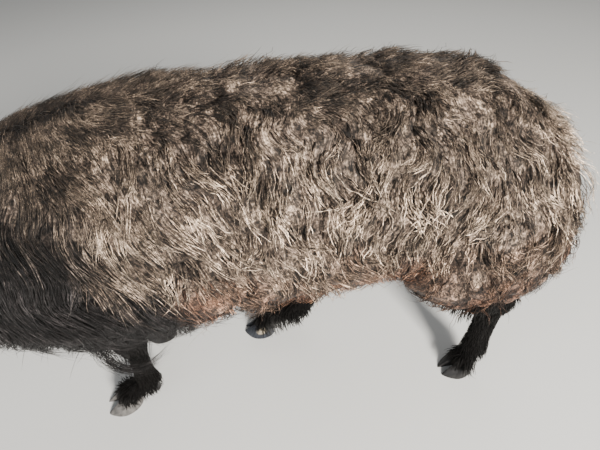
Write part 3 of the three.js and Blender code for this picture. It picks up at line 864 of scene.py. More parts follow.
def dewclaw_grid(name, half):
    """A small blunt cone of horn behind the fetlock, pointing down."""
    x, y, z = leg_joints(name)[4]
    polar = np.linspace(0.08, math.pi - 0.08, 20)[:, None]
    turn = np.linspace(0, 2 * math.pi, 24, endpoint=False)[None]
    body = 0.0056 * np.sin(polar) ** 0.8 * (1 + 0.35 * np.cos(polar))
    grid = np.stack([body * np.cos(turn), 0.8 * body * np.sin(turn), -0.0100 * np.cos(polar) + 0 * turn], -1)
    lean = math.radians(25)
    c, s = math.cos(lean), math.sin(lean)
    ahead, out, above = grid[..., 0], grid[..., 1], grid[..., 2]
    turned = np.stack([ahead * c - above * s, out, ahead * s + above * c], -1)
    return turned + [x - 0.0150, y + half * 0.0080, z - 0.008]


DARK_HORN = horn_material("dark horn", (0.006, 0.0057, 0.006), (0.017, 0.016, 0.0155))
PALE_HORN = horn_material("pale horn", (0.040, 0.038, 0.037), (0.120, 0.113, 0.105))
foot = np.array(LEGS["hind_right"]["hoof"])
SLATE_HORN = horn_material("slate horn", (0.012, 0.014, 0.019), (0.032, 0.036, 0.045),
                           spot=tuple(foot + SHIFT + [-0.003, 0.019, 0.016]))
HORNS = {"front_left": PALE_HORN, "hind_right": SLATE_HORN}
for leg_name in LEGS:
    for half, place in ((1, "a"), (-1, "b")):
        finish = HORNS.get(leg_name, DARK_HORN)
        points, faces = closed(claw_grid(leg_name, half))
        claw = new_piece(f"hoof_{leg_name}_{place}", points, faces, finish)
        points, faces = closed(dewclaw_grid(leg_name, half))
        dew = new_piece(f"dewhorn_{leg_name}_{place}", points, faces, DARK_HORN)
        for piece, stands_for in ((claw, "claw"), (dew, "dewclaw")):
            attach(piece, "root")
            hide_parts(f"{stands_for}_{leg_name}_{place}")
print("claws and dewclaws made")

# %% [markdown]
# ## The coat
#
# Wool grows in locks: many fibres that start apart on the skin and lie together in a flat, wavy
# bundle that thins to its tip. So the coat is made in three steps. A dense undercoat, one closed
# surface, fills about a third of the depth. The middle line of each lock is walked over the skin in
# small steps along the lie of the wool, from the skin up to the depth of the fleece, so that every row
# of locks covers the roots of the next. Fine strands, thin closed three-sided solids, then follow each
# line, start at different places along it, wave together, and draw in towards its tip.

# %% Roots on a surface
def scatter(points, tris, normals, weight, count, seed):
    """Random places spread evenly by area times weight: a triangle is drawn by its share, and a point
    in it by folding a unit square over its diagonal."""
    rng = np.random.default_rng(seed)
    corners = points[tris]
    edges = corners[:, 1:] - corners[:, :1]
    area = 0.5 * np.linalg.norm(np.cross(edges[:, 0], edges[:, 1]), axis=1)
    share = np.cumsum(area * weight)
    pick = np.searchsorted(share, (np.arange(count) + rng.uniform(0, 1, count)) / count * share[-1])
    pick = np.minimum(pick, len(tris) - 1)
    u, v = rng.uniform(0, 1, (2, count))
    fold = u + v > 1
    u, v = np.where(fold, 1 - u, u), np.where(fold, 1 - v, v)
    w = np.stack([1 - u - v, u, v], 1)[..., None]
    return (corners[pick] * w).sum(1), unit((normals[tris[pick]] * w).sum(1))


def head_frame(points):
    """Body-frame points seen along the head, out to its left and up from it."""
    return (points - POLL) @ HEAD_AXES.T


SKIN_TREE = BVHTree.FromPolygons([Vector(p) for p in SKIN_POINTS], [tuple(t) for t in SKIN_TRIS.tolist()])
BODY_TREE = BVHTree.FromPolygons([Vector(p) for p in BODY_POINTS], [tuple(t) for t in BODY_TRIS.tolist()])
MIDDLES = SKIN_POINTS[SKIN_TRIS].mean(1)
ON_BODY = np.array([BODY_TREE.find_nearest(Vector(p))[3] for p in MIDDLES]) < 2e-4
SEEN = head_frame(MIDDLES)
ON_EAR = ~ON_BODY & (np.abs(SEEN[:, 1]) > 0.042) & (SEEN[:, 0] < 0.048) & (SEEN[:, 2] > -0.012)
ON_HEAD = ~ON_BODY & ~ON_EAR & (MIDDLES[:, 0] > 0.48) & (MIDDLES[:, 2] > 0.18)
ON_LEG = ~ON_BODY & ~ON_EAR & ~ON_HEAD
CAP = ON_HEAD & (SEEN[:, 0] < 0.024 + 0.030 * smooth(0.0, 0.035, SEEN[:, 2]) - 0.25 * np.abs(SEEN[:, 1]))
print("skin triangles on body, head, ears, legs:", ON_BODY.sum(), ON_HEAD.sum(), ON_EAR.sum(), ON_LEG.sum())

# %% [markdown]
# ### The lie of the wool
#
# The lie is given by a stream function: wool runs along the lines where its value stays the same,
# and steps in its value count fibres side by side, which the undercoat's streaks use too. On the
# sides it is the distance along the body, so the wool hangs down; it is wrapped round the rump. The
# sweep leans it back over the ribs, a wave in height makes the shared S-curves of neck and shoulder,
# and slow noise makes the swirls over ribs and hips.

# %% Lie, length and depth of the wool by place
REAR, ROUND = -0.30, 0.11  # where the rump begins to turn inwards, and its radius


def stream(p):
    """The stream function: x, or past the rump's start its turn about an upright axis times its
    radius, minus height times the tangent of the sweep, plus waves in front and swirls behind."""
    x, y, z = p[..., 0], p[..., 1], p[..., 2]
    wrapped = np.where(x > REAR, x, REAR - ROUND * np.arctan2(np.maximum(REAR - x, 0), np.abs(y) + 1e-4))
    sweep = np.interp(x, [-0.40, -0.33, -0.24, -0.12, 0.0, 0.12, 0.22, 0.34, 0.55],
                      [0.40, 0.30, 0.00, -0.08, 0.26, 0.55, 0.42, 0.12, 0.12])
    front = smooth(0.06, 0.22, x)
    waves = 0.0088 * np.sin(2 * math.pi * z / 0.072 + 2.2 * ripple(p, 0.22, 11, 2))
    swirl = 0.0165 * ripple(p, 0.115, 12, 2)
    return wrapped - (z - 0.36) * sweep - front * waves + (1 - 0.75 * front) * swirl


def lie_at(p, n, side, turn):
    """The direction that wool at p lies in: across the stream function's gradient, found by small
    steps, on the skin with normal n; side is 1 for wool that falls to her left, -1 to her right. On
    the crest it leads a little back, on the crown of the head forward. turn swings it about the
    normal."""
    h = 0.0015
    here = stream(p)
    slope = np.stack([stream(p + h * np.eye(3)[i]) - here for i in range(3)], -1) / h
    v = unit(np.cross(n, slope)) * side[..., None]
    crest = (smooth(0.80, 1.0, n[..., 2]) * (1 - 0.5 * smooth(0.10, 0.25, p[..., 0])))[..., None]
    back = (1.0 + 0.5 * ripple(p, 0.10, 14, 2))[..., None]
    v = v * (1 - 0.7 * crest) + crest * back * np.array([-1.0, 0, 0])
    local = head_frame(p)
    out = np.clip(p[..., 1] / 0.05, -1, 1)
    crown = (smooth(-0.045, -0.010, local[..., 0]) * smooth(0.0, 0.03, local[..., 2]))[..., None]
    v = v * (1 - crown) + crown * (HEAD_AXES[0] + [0, 0.0, 0.2] + HEAD_AXES[1] * out[..., None] * 0.8)
    v = unit(v - n * (v * n).sum(-1, keepdims=True))
    return v * np.cos(turn)[..., None] + np.cross(n, v) * np.sin(turn)[..., None]


def near_head(p):
    """0 on the body, rising to 1 from just behind the skull to the forehead."""
    local = head_frame(p)
    return smooth(-0.050, 0.030, local[..., 0]) * smooth(0.45, 0.50, p[..., 0])


def wool_length(p):
    """Length of a lock by place: long on neck, shoulder and breast, shorter over ribs and rump, and
    short and close under the flank and on the head."""
    x, z = p[..., 0], p[..., 2]
    length = np.interp(x, [-0.40, -0.25, 0.0, 0.14, 0.26, 0.40, 0.56],
                       [0.066, 0.062, 0.056, 0.072, 0.104, 0.104, 0.080])
    low = (1 - smooth(0.20, 0.27, z)) * (1 - smooth(0.10, 0.22, x))
    length = length * (1 - 0.35 * low)
    return length + (0.030 - length) * near_head(p)


def groove(p):
    """1 along the partings between groups of locks, where a slow noise crosses zero, else 0."""
    return 1 - smooth(0.0, 0.15, np.abs(ripple(p, 0.15, 22, 2)))


def plain_depth(p):
    """Depth of the coat over the skin, out to the solids' own surface, less in the grooves."""
    on_thigh = (p[..., 0] < -0.12) & (p[..., 2] < 0.36)
    depth = np.where(on_thigh, THIGH_FLEECE, FLEECE) - 0.005
    tail = (p[..., 0] < -0.35) & (np.abs(p[..., 1]) < 0.035)
    depth = np.where(tail, 0.010, depth)
    depth = depth + (0.008 - depth) * near_head(p)
    return depth * (1 - 0.55 * groove(p))


def wool_depth(p):
    """The plain depth with rolls in it, larger along the back."""
    rolls = 0.32 + 0.16 * smooth(0.39, 0.45, p[..., 2])
    return plain_depth(p) * (1 + rolls * ripple(p, 0.08, 21, 2))


# %% Walk the locks over the skin
def walk_locks(roots, normals, length, side, bias, curl, steps, hang):
    """Middle lines of locks: at each step a lock moves on along the lie at that place, is brought back
    to its height over the skin, and past the belly's edge it hangs free instead of tucking under. On
    the crest locks stand up more from their root, so that they close over the spine."""
    count = len(roots)
    lines = np.empty((count, steps, 3))
    ups = np.empty((count, steps, 3))
    point, up = roots.copy(), normals.copy()
    depth = wool_depth(roots)
    stand = 0.12 + 0.20 * smooth(0.80, 1.0, normals[:, 2])
    for step in range(steps):
        s = step / (steps - 1)
        depth = 0.8 * depth + 0.2 * wool_depth(point)
        height = depth * (stand + (1 - stand) * s**0.65)
        lines[:, step] = point + up * height[:, None]
        ups[:, step] = up
        ahead = point + lie_at(point, up, side, bias + curl * s) * (length / (steps - 1))[:, None]
        found = [SKIN_TREE.find_nearest(Vector(q)) for q in ahead]
        near = np.array([f[0] for f in found])
        face = np.array([f[1] for f in found])
        free = hang * smooth(0.30, 0.75, -face[:, 2])[:, None]
        point = near * (1 - free) + (ahead - [0, 0, 0.001]) * free
        up = unit(0.6 * up + 0.4 * face)
    for _ in range(2):
        lines[:, 1:-1] = 0.25 * lines[:, :-2] + 0.5 * lines[:, 1:-1] + 0.25 * lines[:, 2:]
    return lines, ups


def frames_of(lines, ups):
    """Unit vectors along each line, across it and off the skin."""
    ahead = unit(np.gradient(lines, axis=1))
    across = unit(np.cross(ups, ahead))
    return ahead, across, np.cross(ahead, across)


def lock_swell(s):
    """Half width of a lock as a share of its largest: wide at the root, drawn in at the tip, where the
    strands still stand a little apart."""
    return 1.0 - 0.62 * np.clip(s, 0, 1) ** 1.8


# %% Meshes of locks and strands
PATCH = 0.003  # width of a tuft's own patch on the map of the skin
WIDEST = 0.175  # how far out from the middle of the body any strand reaches


def patch_uv(u, v, faces, uv_root):
    """Map places of every corner: each body's own small patch, about its root's place."""
    corner = np.stack([u[faces], v[faces]], -1)
    return (uv_root[:, None, None] + (corner[None] - 0.5) * PATCH).reshape(-1, 2)


def strand_mesh(lines, ups, width, thick, uv_root):
    """Closed strands of flat triangular section: three edges along each line, one cap at the root and
    a point at the tip, narrowing as a root of what is left."""
    count, steps = lines.shape[:2]
    _, across, lift = frames_of(lines, ups)
    s = np.linspace(0, 1, steps)
    taper = ((1 - s[:-1]) ** 0.6 * (0.75 + 0.55 * s[:-1]) * 1.15)[None, :, None]
    w, t = (width[:, None, None] * taper), (thick[:, None, None] * taper)
    body, f, l = lines[:, :-1], across[:, :-1], lift[:, :-1]
    rings = np.stack([body + f * w - l * t * 0.4, body + l * t, body - f * w - l * t * 0.4], 2)
    points = np.concatenate([rings.reshape(count, -1, 3), lines[:, -1:]], 1)
    per = points.shape[1]
    r, k = np.meshgrid(np.arange(steps - 2), np.arange(3), indexing="ij")
    a, b = (r * 3 + k).ravel(), (r * 3 + (k + 1) % 3).ravel()
    last = (steps - 2) * 3
    tips = np.array([[last + j, last + (j + 1) % 3, per - 1] for j in range(3)])
    faces = np.concatenate([np.stack([a, b, b + 3], 1), np.stack([a, b + 3, a + 3], 1), tips, [[2, 1, 0]]])
    u = np.concatenate([np.tile([0.0, 0.5, 1.0], steps - 1), [0.5]])
    v = np.concatenate([np.repeat(s[:-1], 3) + np.tile([0.0, 0.06, 0.0], steps - 1), [1.0]])
    uv = patch_uv(u, v, faces, uv_root)
    all_faces = (faces[None] + (np.arange(count) * per)[:, None, None]).reshape(-1, 3)
    shares = np.tile(np.concatenate([np.repeat(s[:-1], 3), [1.0]]), count)
    return points.reshape(-1, 3), all_faces, uv, shares, per


def sample_rows(rows, owner, s):
    """Rows of each owner's line at shares s of its length, straight between steps and beyond the tip."""
    place = s * (rows.shape[1] - 1)
    i = np.clip(place.astype(int), 0, rows.shape[1] - 2)
    u = (place - i)[..., None]
    return rows[owner[:, None], i] * (1 - u) + rows[owner[:, None], i + 1] * u


def strands_of_locks(owner, lines, ups, half, thick, starts, reaches, layers, loose, steps, seed):
    """Strands of locks: each starts somewhere along its lock at its own place in the lock's flat
    section, keeps beside the others in shared small waves, and lifts a little off the tip. The loose
    share of them stray from the coat. Returns their lines, their up vectors and how far along the lock
    they lie."""
    rng = np.random.default_rng(seed)
    count = len(owner)
    front = smooth(0.08, 0.24, lines[owner, 0, 0])
    lifted = ups[:, 0]
    place = rng.uniform(-1, 1, count)
    layer = rng.uniform(*layers, count)
    start = rng.uniform(*starts, count) * (1 - smooth(0.75, 0.95, lifted[owner, 2]))
    reach = rng.uniform(*reaches, count)
    q = np.linspace(0, 1, steps)[None]
    s = start[:, None] + reach[:, None] * q
    _, across_all, lift_all = frames_of(lines, ups)
    middle = sample_rows(lines, owner, s)
    across = unit(sample_rows(across_all, owner, s))
    lift = unit(sample_rows(lift_all, owner, s))
    swell = lock_swell(s)
    stray = (rng.uniform(0, 1, count) < loose)[:, None]
    drift = rng.normal(0, 1, (count, 1)) * np.where(stray, 1.2, 0.30) * q
    a = place[:, None] + drift
    length = np.linalg.norm(np.diff(lines, axis=1), axis=2).sum(1)[owner][:, None]
    phase = rng.uniform(0, 2 * math.pi, len(lines))[owner][:, None] + rng.normal(0, 0.5, (count, 1))
    wave = (0.021 + 0.012 * front)[:, None]
    turns = 2 * math.pi * s * length / wave + phase
    size = (0.0017 - 0.0009 * front)[:, None] * rng.uniform(0.3, 1.4, (count, 1))
    bow = thick[owner][:, None] * swell * np.sqrt(np.clip(1 - 0.9 * place**2, 0, 1))[:, None] * layer[:, None]
    rise = rng.uniform(0, 1, (count, 1)) * np.where(stray, 0.010 + 0.004 * loose, 0.0030) * q**1.5
    sideways = a * half[owner][:, None] * swell + size * np.sin(turns) * (0.4 + 0.6 * q)
    off = bow + rise + 0.6 * size * np.cos(0.9 * turns)
    made = middle + across * sideways[..., None] + lift * off[..., None]
    made[..., 1] = np.clip(made[..., 1], -WIDEST, WIDEST)
    return made, lift, s


# %% Fleece: undercoat and locks
def tones_and_painted_light(points, seed, count):
    """Tone, rust and dark of the wool by place: slow patches times a tone of each lock's own; darker
    along the back and under the flank and belly as painted shade, darker on rump and thighs, lighter
    along the middle of the flank as painted light, and darker in the partings and between the locks as
    painted shade; nearly black on neck and breast, partly the wool's own darker colour and partly painted
    shadow; reddish where the sun has bleached it under the flank and at the thigh's edge."""
    rng = np.random.default_rng(seed)
    x, z = points[:, 0], points[:, 2]
    low = 1 - smooth(0.220, 0.345, z)
    hind = 1 - smooth(-0.20, -0.08, x)
    tone = rng.uniform(0.95, 1.65, count) * (1 + 0.42 * ripple(points, 0.13, 41, 2))
    # Painted shade: darker along the top of the back, and under the flank towards the belly.
    tone *= (1 - 0.50 * smooth(0.42, 0.47, z)) * (1 - 0.55 * low)
    # Painted shade low at the hind end under the belly; darker on rump and thighs.
    tone *= (1 - 0.60 * low * hind) * (1 - 0.20 * hind)
    # Painted light: a lighter band along the middle of the flank, behind the shoulder.
    tone *= 1 + 0.65 * smooth(0.30, 0.37, z) * (1 - smooth(0.40, 0.46, z)) * (1 - smooth(0.06, 0.18, x))
    # Painted shade between the locks and in the partings between groups of locks.
    gap_painted_shade = 1 - smooth(0.0, 0.22, np.abs(ripple(points, 0.055, 26, 2)))
    tone *= (1 - 0.50 * groove(points)) * (1 - 0.42 * gap_painted_shade)
    bleached = 1 - smooth(0.23, 0.34, z + 0.03 * ripple(points, 0.09, 44, 2))
    rust = np.clip(bleached * (1 - smooth(0.10, 0.22, x)) * (0.9 + 0.5 * ripple(points, 0.10, 43, 2)), 0, 1)
    # Nearly black on neck, breast and shoulder, with an edge that slants down and back and reaches further
    # back low down: partly the wool's own darker colour, partly painted shadow.
    front = smooth(0.04, 0.19, x - 0.70 * (z - 0.33) + 0.05 * ripple(points, 0.12, 45, 3))
    dark = front * (0.985 - 0.65 * smooth(0.37, 0.44, z)) + 0.35 * low * smooth(0.02, 0.20, x)
    return tone, 0.95 * rust, np.clip(dark, 0, 0.985)


LOCKS, FILLERS, LOCK_STEPS = 2400, 2700, 12
TONE_STEP = 7  # the step of a lock's line at whose place its colour is chosen
wool_weight = np.where(ON_BODY | CAP, 1.0, 0.0)
wool_weight *= np.where(MIDDLES[:, 0] > 0.12, 0.72, 1.0) * np.where(CAP, 3.0, 1.0)
FACING = SKIN_NORMALS[SKIN_TRIS].mean(1)[:, 2]
wool_weight *= (0.85 + 0.15 * smooth(0.16, 0.22, MIDDLES[:, 2])) * (1 - 0.55 * smooth(0.35, 0.85, -FACING))


def grow_locks(roots, normals, seed):
    """Middle lines of the locks that grow from these roots. Neighbours lean and curl alike."""
    rng = np.random.default_rng(seed)
    count = len(roots)
    wild = 1 - 0.68 * smooth(0.08, 0.24, roots[:, 0])
    length = wool_length(roots) * rng.uniform(0.75, 1.25, count)
    bias = (0.45 * ripple(roots, 0.06, 15, 2) + rng.normal(0, 0.14, count)) * wild
    curl = (1.3 * ripple(roots, 0.07, 16, 2) + rng.normal(0, 0.25, count)) * wild
    side = np.where(roots[:, 1] + rng.normal(0, 0.018, count) * smooth(0.7, 1, normals[:, 2]) >= 0, 1.0, -1.0)
    return walk_locks(roots, normals, length, side, bias, curl, LOCK_STEPS, 0.8)


def bare_places(lines, count, seed):
    """The places of the woolly skin that the fewest locks pass over, out of many tried."""
    tried, normals = scatter(SKIN_POINTS, SKIN_TRIS, SKIN_NORMALS, wool_weight > 0, 8 * count, seed)
    passing = lines[:, 4:].reshape(-1, 3)
    finder = KDTree(len(passing))
    for i, p in enumerate(passing):
        finder.insert(p, i)
    finder.balance()
    seen = tried + normals * 0.6 * wool_depth(tried)[:, None]
    crowd = np.array([len(finder.find_range(p, 0.010)) for p in seen])
    pick = np.argsort(crowd, kind="stable")[:count]
    return tried[pick], normals[pick]


def step_back(points, normals, distance, steps=6):
    """Walks from places against the lie of the wool, so that a lock rooted there passes over them."""
    for _ in range(steps):
        side = np.where(points[:, 1] >= 0, 1.0, -1.0)
        back = points - lie_at(points, normals, side, 0 * distance) * distance[:, None] / steps
        found = [SKIN_TREE.find_nearest(Vector(q)) for q in back]
        points = np.array([f[0] for f in found])
        normals = np.array([f[1] for f in found])
    return points, normals


first_roots, first_normals = scatter(SKIN_POINTS, SKIN_TRIS, SKIN_NORMALS, wool_weight, LOCKS, 31)
first_lines, first_ups = grow_locks(first_roots, first_normals, 32)
bare, bare_normals = bare_places(first_lines, FILLERS, 33)
more_roots, more_normals = step_back(bare, bare_normals, 0.6 * wool_length(bare))
more_lines, more_ups = grow_locks(more_roots, more_normals, 34)
lock_roots = np.concatenate([first_roots, more_roots])
lock_lines = np.concatenate([first_lines, more_lines])
lock_ups = np.concatenate([first_ups, more_ups])
lock_length = np.linalg.norm(np.diff(lock_lines, axis=1), axis=2).sum(1)
lock_count = len(lock_roots)
front = smooth(0.08, 0.24, lock_roots[:, 0])
lock_half = (0.0080 + 0.0060 * front - 0.0060 * near_head(lock_roots)) * RNG.uniform(0.75, 1.25, lock_count)
lock_thick = 0.60 * lock_half
lock_tone_and_painted_light, lock_rust, lock_dark_and_painted_shadow = tones_and_painted_light(lock_lines[:, TONE_STEP], 51, lock_count)


def unwrapped(points, pick):
    """Places on a map of the skin: along the body, and round it from the belly, spread over the whole
    square for the piece at hand."""
    around = np.arctan2(points[pick, 1], points[pick, 2] - 0.34)
    spread = np.stack([points[pick, 0], around], 1)
    low, high = spread.min(0), spread.max(0)
    return PATCH + (1 - 2 * PATCH) * (spread - low) / (high - low)


def coat_piece(name, made, tones, finish=None):
    """Adds one piece of the coat, with the attributes that its finish reads."""
    points, faces, uv, values, per = made
    values = dict(values, **{key: np.repeat(value, per) for key, value in tones.items()})
    piece = new_piece(name, points, faces, finish or WOOL, values, uv)
    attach(piece, "root")
    print(f"{name}: {len(faces)} triangles")
    return len(faces)


STREAK_SCALE = 135  # places across the fibres for each unit of the stream function


def undercoat():
    """The body's surface raised through about a third of the depth of the wool, more along the spine and
    under the belly, with lumps. It is streaked along the lie: its place across the fibres is the stream
    function's value."""
    p = FINE_POINTS
    shown = near_head(p)
    crest = smooth(0.55, 0.90, FINE_NORMALS[:, 2])
    under = smooth(-0.10, 0.45, -FINE_NORMALS[:, 2])
    raised = (0.36 + 0.18 * crest + 0.34 * under) * plain_depth(p) * (1 - shown) - 0.003 * shown
    raised += (0.0018 * ripple(p, 0.034, 23, 2) + 0.0010 * ripple(p, 0.013, 24, 2)) * (1 - shown)
    points = p + FINE_NORMALS * raised[:, None]
    _, rust, dark = tones_and_painted_light(p, 52, len(p))
    # Colour held near the dark root of the wool, darker still in the partings: partly the wool's own dark
    # roots, partly painted shade between the strands and in the partings.
    along = 0.30 + 0.12 * ripple(p, 0.034, 23, 2) + 0.16 * ripple(p, 0.012, 25, 2) - 0.25 * groove(p)
    along = np.clip(along, 0.10, 0.50)
    across = STREAK_SCALE * stream(points)
    patch = unwrapped(points[FINE_TRIS].mean(1), np.arange(len(FINE_TRIS)))
    uv = (patch[:, None] + PATCH * np.array([[0, 0], [1, 0], [0, 1]]) - PATCH / 2).reshape(-1, 2)
    grain = 0.6 * p[:, 2] + 0.5 * p[:, 1] + 0.2 * p[:, 0]
    values = dict(along=along, across=across, tone=0.85 + 0 * across, rust=rust, dark=dark, grain=grain)
    return coat_piece("wool_undercoat", (points, FINE_TRIS, uv, values, 1), {})


total = undercoat()

# %% Fleece: strands
SETS = dict(
    tuft=dict(count=18500, steps=6, starts=(0.05, 0.45), reaches=(0.45, 0.75), layers=(-0.5, 0.9),
              half=(0.00045, 0.00105), loose=0.03),
    fine=dict(count=27500, steps=5, starts=(0.10, 0.60), reaches=(0.35, 0.60), layers=(0.2, 1.4),
              half=(0.00028, 0.00055), loose=0.06),
    wisp=dict(count=1300, steps=7, starts=(0.30, 0.70), reaches=(0.45, 0.80), layers=(0.0, 1.0),
              half=(0.00026, 0.00042), loose=1.0),
)
on_crest = smooth(0.75, 0.95, lock_ups[:, 0, 2])
share = np.cumsum(lock_half * lock_length * (1 + 1.6 * near_head(lock_roots) + 0.6 * on_crest))
for seed, (kind, rule) in enumerate(SETS.items()):
    count, steps = rule["count"], rule["steps"]
    owner = np.searchsorted(share, (np.arange(count) + 0.5) / count * share[-1])
    lines, ups, s_of = strands_of_locks(owner, lock_lines, lock_ups, lock_half, lock_thick, rule["starts"],
                                        rule["reaches"], rule["layers"], rule["loose"], steps, 61 + seed)
    half = RNG.uniform(*rule["half"], count) * (1 - 0.25 * near_head(lock_roots[owner]))
    # A strand's tone is its lock's, which carries painted light and shade, times a random tone of its own.
    tone = lock_tone_and_painted_light[owner] * (1 + RNG.uniform(-0.50, 0.45, count) * (1 - 0.5 * front[owner]))
    grain = RNG.uniform(0, 1, count)
    edges = np.quantile(lines[:, 0, 0], np.linspace(0, 1, 6))
    for band, label in enumerate(("rump", "loin", "ribs", "shoulder", "neck")):
        in_band = (lines[:, 0, 0] >= edges[band]) & (lines[:, 0, 0] <= edges[band + 1] - 1e-9 * (band < 4))
        for hand, chosen in (("left", lines[:, 0, 1] >= 0), ("right", lines[:, 0, 1] < 0)):
            pick = np.flatnonzero(in_band & chosen)
            points, faces, uv, q_of, per = strand_mesh(lines[pick], ups[pick], half[pick], 0.42 * half[pick],
                                                       unwrapped(lines[:, 0], pick))
            ring = np.minimum(np.arange(per) // 3, steps - 1)
            along = np.clip(s_of[pick][:, ring] * 0.85, 0, 1).ravel() + 0.15 * q_of
            across = np.tile(np.append(np.tile([-1.0, 0.0, 1.0], steps - 1), 0.0), len(pick))
            of_lock = owner[pick]
            tones = dict(tone=tone[pick], rust=lock_rust[of_lock], dark=lock_dark_and_painted_shadow[of_lock], grain=grain[pick])
            made = (points, faces, uv, dict(along=along, across=across), per)
            total += coat_piece(f"wool_{kind}_{label}_{hand}", made, tones)
print("fleece:", total, "triangles")

# %% [markdown]
# ### Short hair
#
# Face, ears and legs wear short hair that lies flat. Its tufts are the smallest of the coat: towards
# the poll on the face, out to the tip on the ears, and down the legs, longer where the leg leaves the
# wool and in a fringe over the horn of each hoof.

# %% Short hair
FLOOR_GAP = 0.0025  # the lowest that the line of a short hair comes to the floor


def flat_tufts(roots, normals, lie, length, width, lift, steps, seed):
    """Short tufts: each leaves the skin at its root and bends over along the lie, straying a little."""
    rng = np.random.default_rng(seed)
    count = len(roots)
    v = lie + rng.normal(0, 0.16, (count, 3))
    v = unit(v - normals * (v * normals).sum(-1, keepdims=True))
    s = np.linspace(0, 1, steps)[None, :, None]
    length = length[:, None, None] * rng.uniform(0.75, 1.25, (count, 1, 1))
    lines = roots[:, None] - normals[:, None] * 0.0004 + v[:, None] * length * s
    lines = lines + normals[:, None] * lift[:, None, None] * np.sin(math.pi * 0.62 * s) * 1.1
    lines[..., 2] = np.maximum(lines[..., 2], FLOOR_GAP)
    ups = np.tile(normals[:, None], (1, steps, 1))
    return strand_mesh(lines, ups, width, 0.5 * width, unwrapped(roots, np.arange(count)))


def hair_piece(name, mask, count, lie_of, length_of, width, seed, pale_of=None):
    """Scatters short tufts over the masked part of the skin and makes one piece of them."""
    roots, normals = scatter(SKIN_POINTS, SKIN_TRIS, SKIN_NORMALS, mask.astype(float), count, seed)
    length = length_of(roots)
    width = width * RNG.uniform(0.7, 1.2, count)
    points, faces, uv, along, per = flat_tufts(roots, normals, lie_of(roots), length, width,
                                               0.16 * length, 4, seed + 1)
    pale = pale_of(roots) if pale_of else np.zeros(count)
    face = smooth(-0.04, 0.0, head_frame(roots)[:, 0]) * (roots[:, 2] > 0.15)
    made = (points, faces, uv, dict(along=along), per)
    return coat_piece(name, made, dict(face=face, pale=pale), HAIRS)


def face_lie(p):
    """Along the head to the poll, fanning outwards over the cheeks."""
    local = head_frame(p)
    fan = np.clip(local[:, 1] / 0.04, -1, 1)[:, None] * HEAD_AXES[1] * 0.35
    return -HEAD_AXES[0] + fan - HEAD_AXES[2] * 0.25 * smooth(0, 0.03, -local[:, 2])[:, None]


def face_length(p):
    """Four millimetres on the muzzle, growing to nine at the cheeks."""
    return 0.0042 + 0.0048 * (1 - smooth(0.02, 0.14, head_frame(p)[:, 0]))


def leg_length(p):
    """Short down the shank, longer under the wool, at the dewclaws and in the fringe over the hoof,
    which on the near fore foot is worn short and leaves the claws bare."""
    dewclaws = 0.007 * np.exp(-(((p[:, 2] - 0.070) / 0.014) ** 2))
    worn = np.exp(-(((p - np.array(LEGS["front_left"]["hoof"])) / 0.07) ** 2).sum(1))
    fringe = 0.011 * (1 - smooth(0.034, 0.060, p[:, 2])) * (1 - worn)
    return 0.0085 - 0.0035 * worn + 0.016 * smooth(0.13, 0.20, p[:, 2]) + fringe + dewclaws


def coronet_pale(p):
    """Pale hair in the fringe over the heel of the far hind hoof: a bell about that place."""
    away = (p - np.array(LEGS["hind_right"]["hoof"]) - [-0.030, 0, 0.026]) / [0.014, 0.03, 0.012]
    return np.clip(1.5 * np.exp(-(away**2).sum(1)), 0, 1)


near_eye = np.zeros(len(MIDDLES), bool)
for hand in (1, -1):
    near_eye |= np.linalg.norm(SEEN - EYE * [1, hand, 1], axis=1) < EYE_RADIUS + 0.0045
on_lips = (SEEN[:, 0] > 0.150) & (np.abs(SEEN[:, 2] - mouth_line(SEEN[:, 0])) < 0.004)
hairless = near_eye | (SEEN[:, 0] > 0.186) | on_lips
total += hair_piece("hair_face", ON_HEAD & ~hairless, 5600, face_lie, face_length, 0.00055, 71)
for hand, label in ((1, "left"), (-1, "right")):
    total += hair_piece(f"hair_ear_{label}", ON_EAR & (SEEN[:, 1] * hand > 0), 950,
                        lambda p, hand=hand: np.tile([0, hand * 1.0, -0.25], (len(p), 1)),
                        lambda p: np.full(len(p), 0.0075), 0.00055, 75 + hand)
for seed, (leg_name, leg) in enumerate(LEGS.items()):
    gap = np.min([np.linalg.norm(MIDDLES - j, axis=1) for j in leg_joints(leg_name)], axis=0)
    mine = ON_LEG & (gap < 0.10) & (MIDDLES[:, 1] * leg["side"] > 0)
    mine &= (MIDDLES[:, 0] > 0.13) == leg["fore"]

    def length_of(p, middle=leg["hoof"][0]):
        """The leg's hair, 9 mm longer behind the middle of the hoof."""
        behind = 1 - smooth(middle - 0.012, middle + 0.012, p[:, 0])
        return leg_length(p) + 0.009 * (p[:, 2] < 0.060) * behind

    total += hair_piece(f"hair_{leg_name}", mine, 2200, lambda p: np.tile([-0.12, 0, -1.0], (len(p), 1)),
                        length_of, 0.00075, 81 + 2 * seed, coronet_pale)
print("coat in all:", total, "triangles")

# %% [markdown]
# ## Stage, light and camera
#
# A plain pale floor and soft studio light. The camera stands on her left, close by and looking down,
# so that her head and the front of her neck lie outside the picture.

# %% Stage
def stage_floor():
    """A pale matt floor, far larger than the ewe."""
    finish = material("pale floor", Base_Color=(0.50, 0.50, 0.485, 1), Roughness=0.9)[0]
    points = np.array([(-8, -8, 0), (8, -8, 0), (8, 8, 0), (-8, 8, 0)], float)
    floor = new_piece("floor", points, np.array([[0, 1, 2, 3]]), finish)


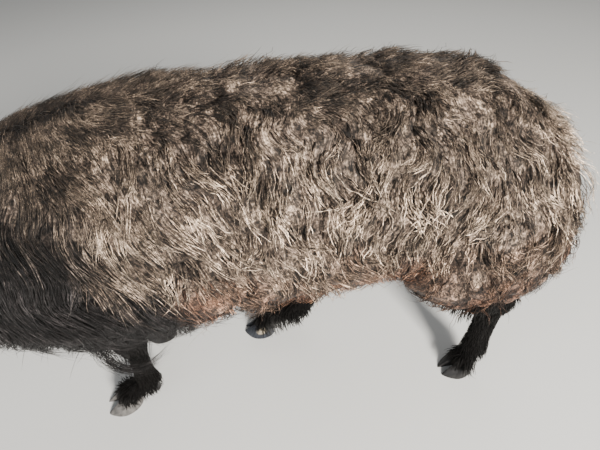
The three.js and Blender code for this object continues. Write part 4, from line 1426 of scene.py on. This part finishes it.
def soft_light(name, place, aim, size, watts, colour):
    """A square area lamp at place, turned to look at aim."""
    lamp = bpy.data.lights.new(name, "AREA")
    lamp.size, lamp.energy, lamp.color = size, watts, colour
    holder = bpy.data.objects.new(name, lamp)
    holder.location = place
    holder.rotation_euler = (Vector(aim) - Vector(place)).to_track_quat("-Z", "Y").to_euler()
    bpy.context.scene.collection.objects.link(holder)


stage_floor()
world = bpy.data.worlds.new("studio")
world.use_nodes = True
world.node_tree.nodes["Background"].inputs["Color"].default_value = (0.93, 0.96, 1.0, 1)
world.node_tree.nodes["Background"].inputs["Strength"].default_value = 0.28
bpy.context.scene.world = world
soft_light("key", (-1.0, 2.3, 1.45), (-0.1, 0, 0.3), 0.6, 330, (1.0, 0.96, 0.90))
soft_light("fill", (1.6, 1.6, 1.4), (0.0, 0, 0.3), 2.0, 25, (0.92, 0.96, 1.0))
soft_light("back", (-0.6, -1.8, 1.8), (-0.1, 0, 0.3), 1.6, 16, (1.0, 0.98, 0.95))

# %% Camera
CAMERA_PLACE = np.array([0.01275, 0.48428, 0.68438])  # body frame
CAMERA_YAW, CAMERA_PITCH, CAMERA_ROLL = map(math.radians, (-6.23, 40.09, -3.0))
FOCAL_PIXELS, FRAME_WIDTH = 462.3, 600


def camera_axes():
    """Right, up and forward of a camera that looks across the ewe from her left, turned by yaw, tipped
    down by pitch and rolled."""
    level = math.cos(CAMERA_PITCH)
    forward = np.array([math.sin(CAMERA_YAW) * level, -math.cos(CAMERA_YAW) * level, -math.sin(CAMERA_PITCH)])
    right = unit(np.cross(forward, [0, 0, 1]))
    up = np.cross(right, forward)
    c, s = math.cos(CAMERA_ROLL), math.sin(CAMERA_ROLL)
    return right * c + up * s, up * c - right * s, forward


right, up, forward = camera_axes()
lens = bpy.data.cameras.new("camera")
lens.sensor_width = 36
lens.lens = FOCAL_PIXELS / FRAME_WIDTH * 36
lens.clip_start = 0.01
camera = bpy.data.objects.new("camera", lens)
turned = Matrix([(right[i], up[i], -forward[i]) for i in range(3)]).to_4x4()
camera.matrix_world = Matrix.Translation(Vector(CAMERA_PLACE + SHIFT)) @ turned
bpy.context.scene.collection.objects.link(camera)
bpy.context.scene.camera = camera
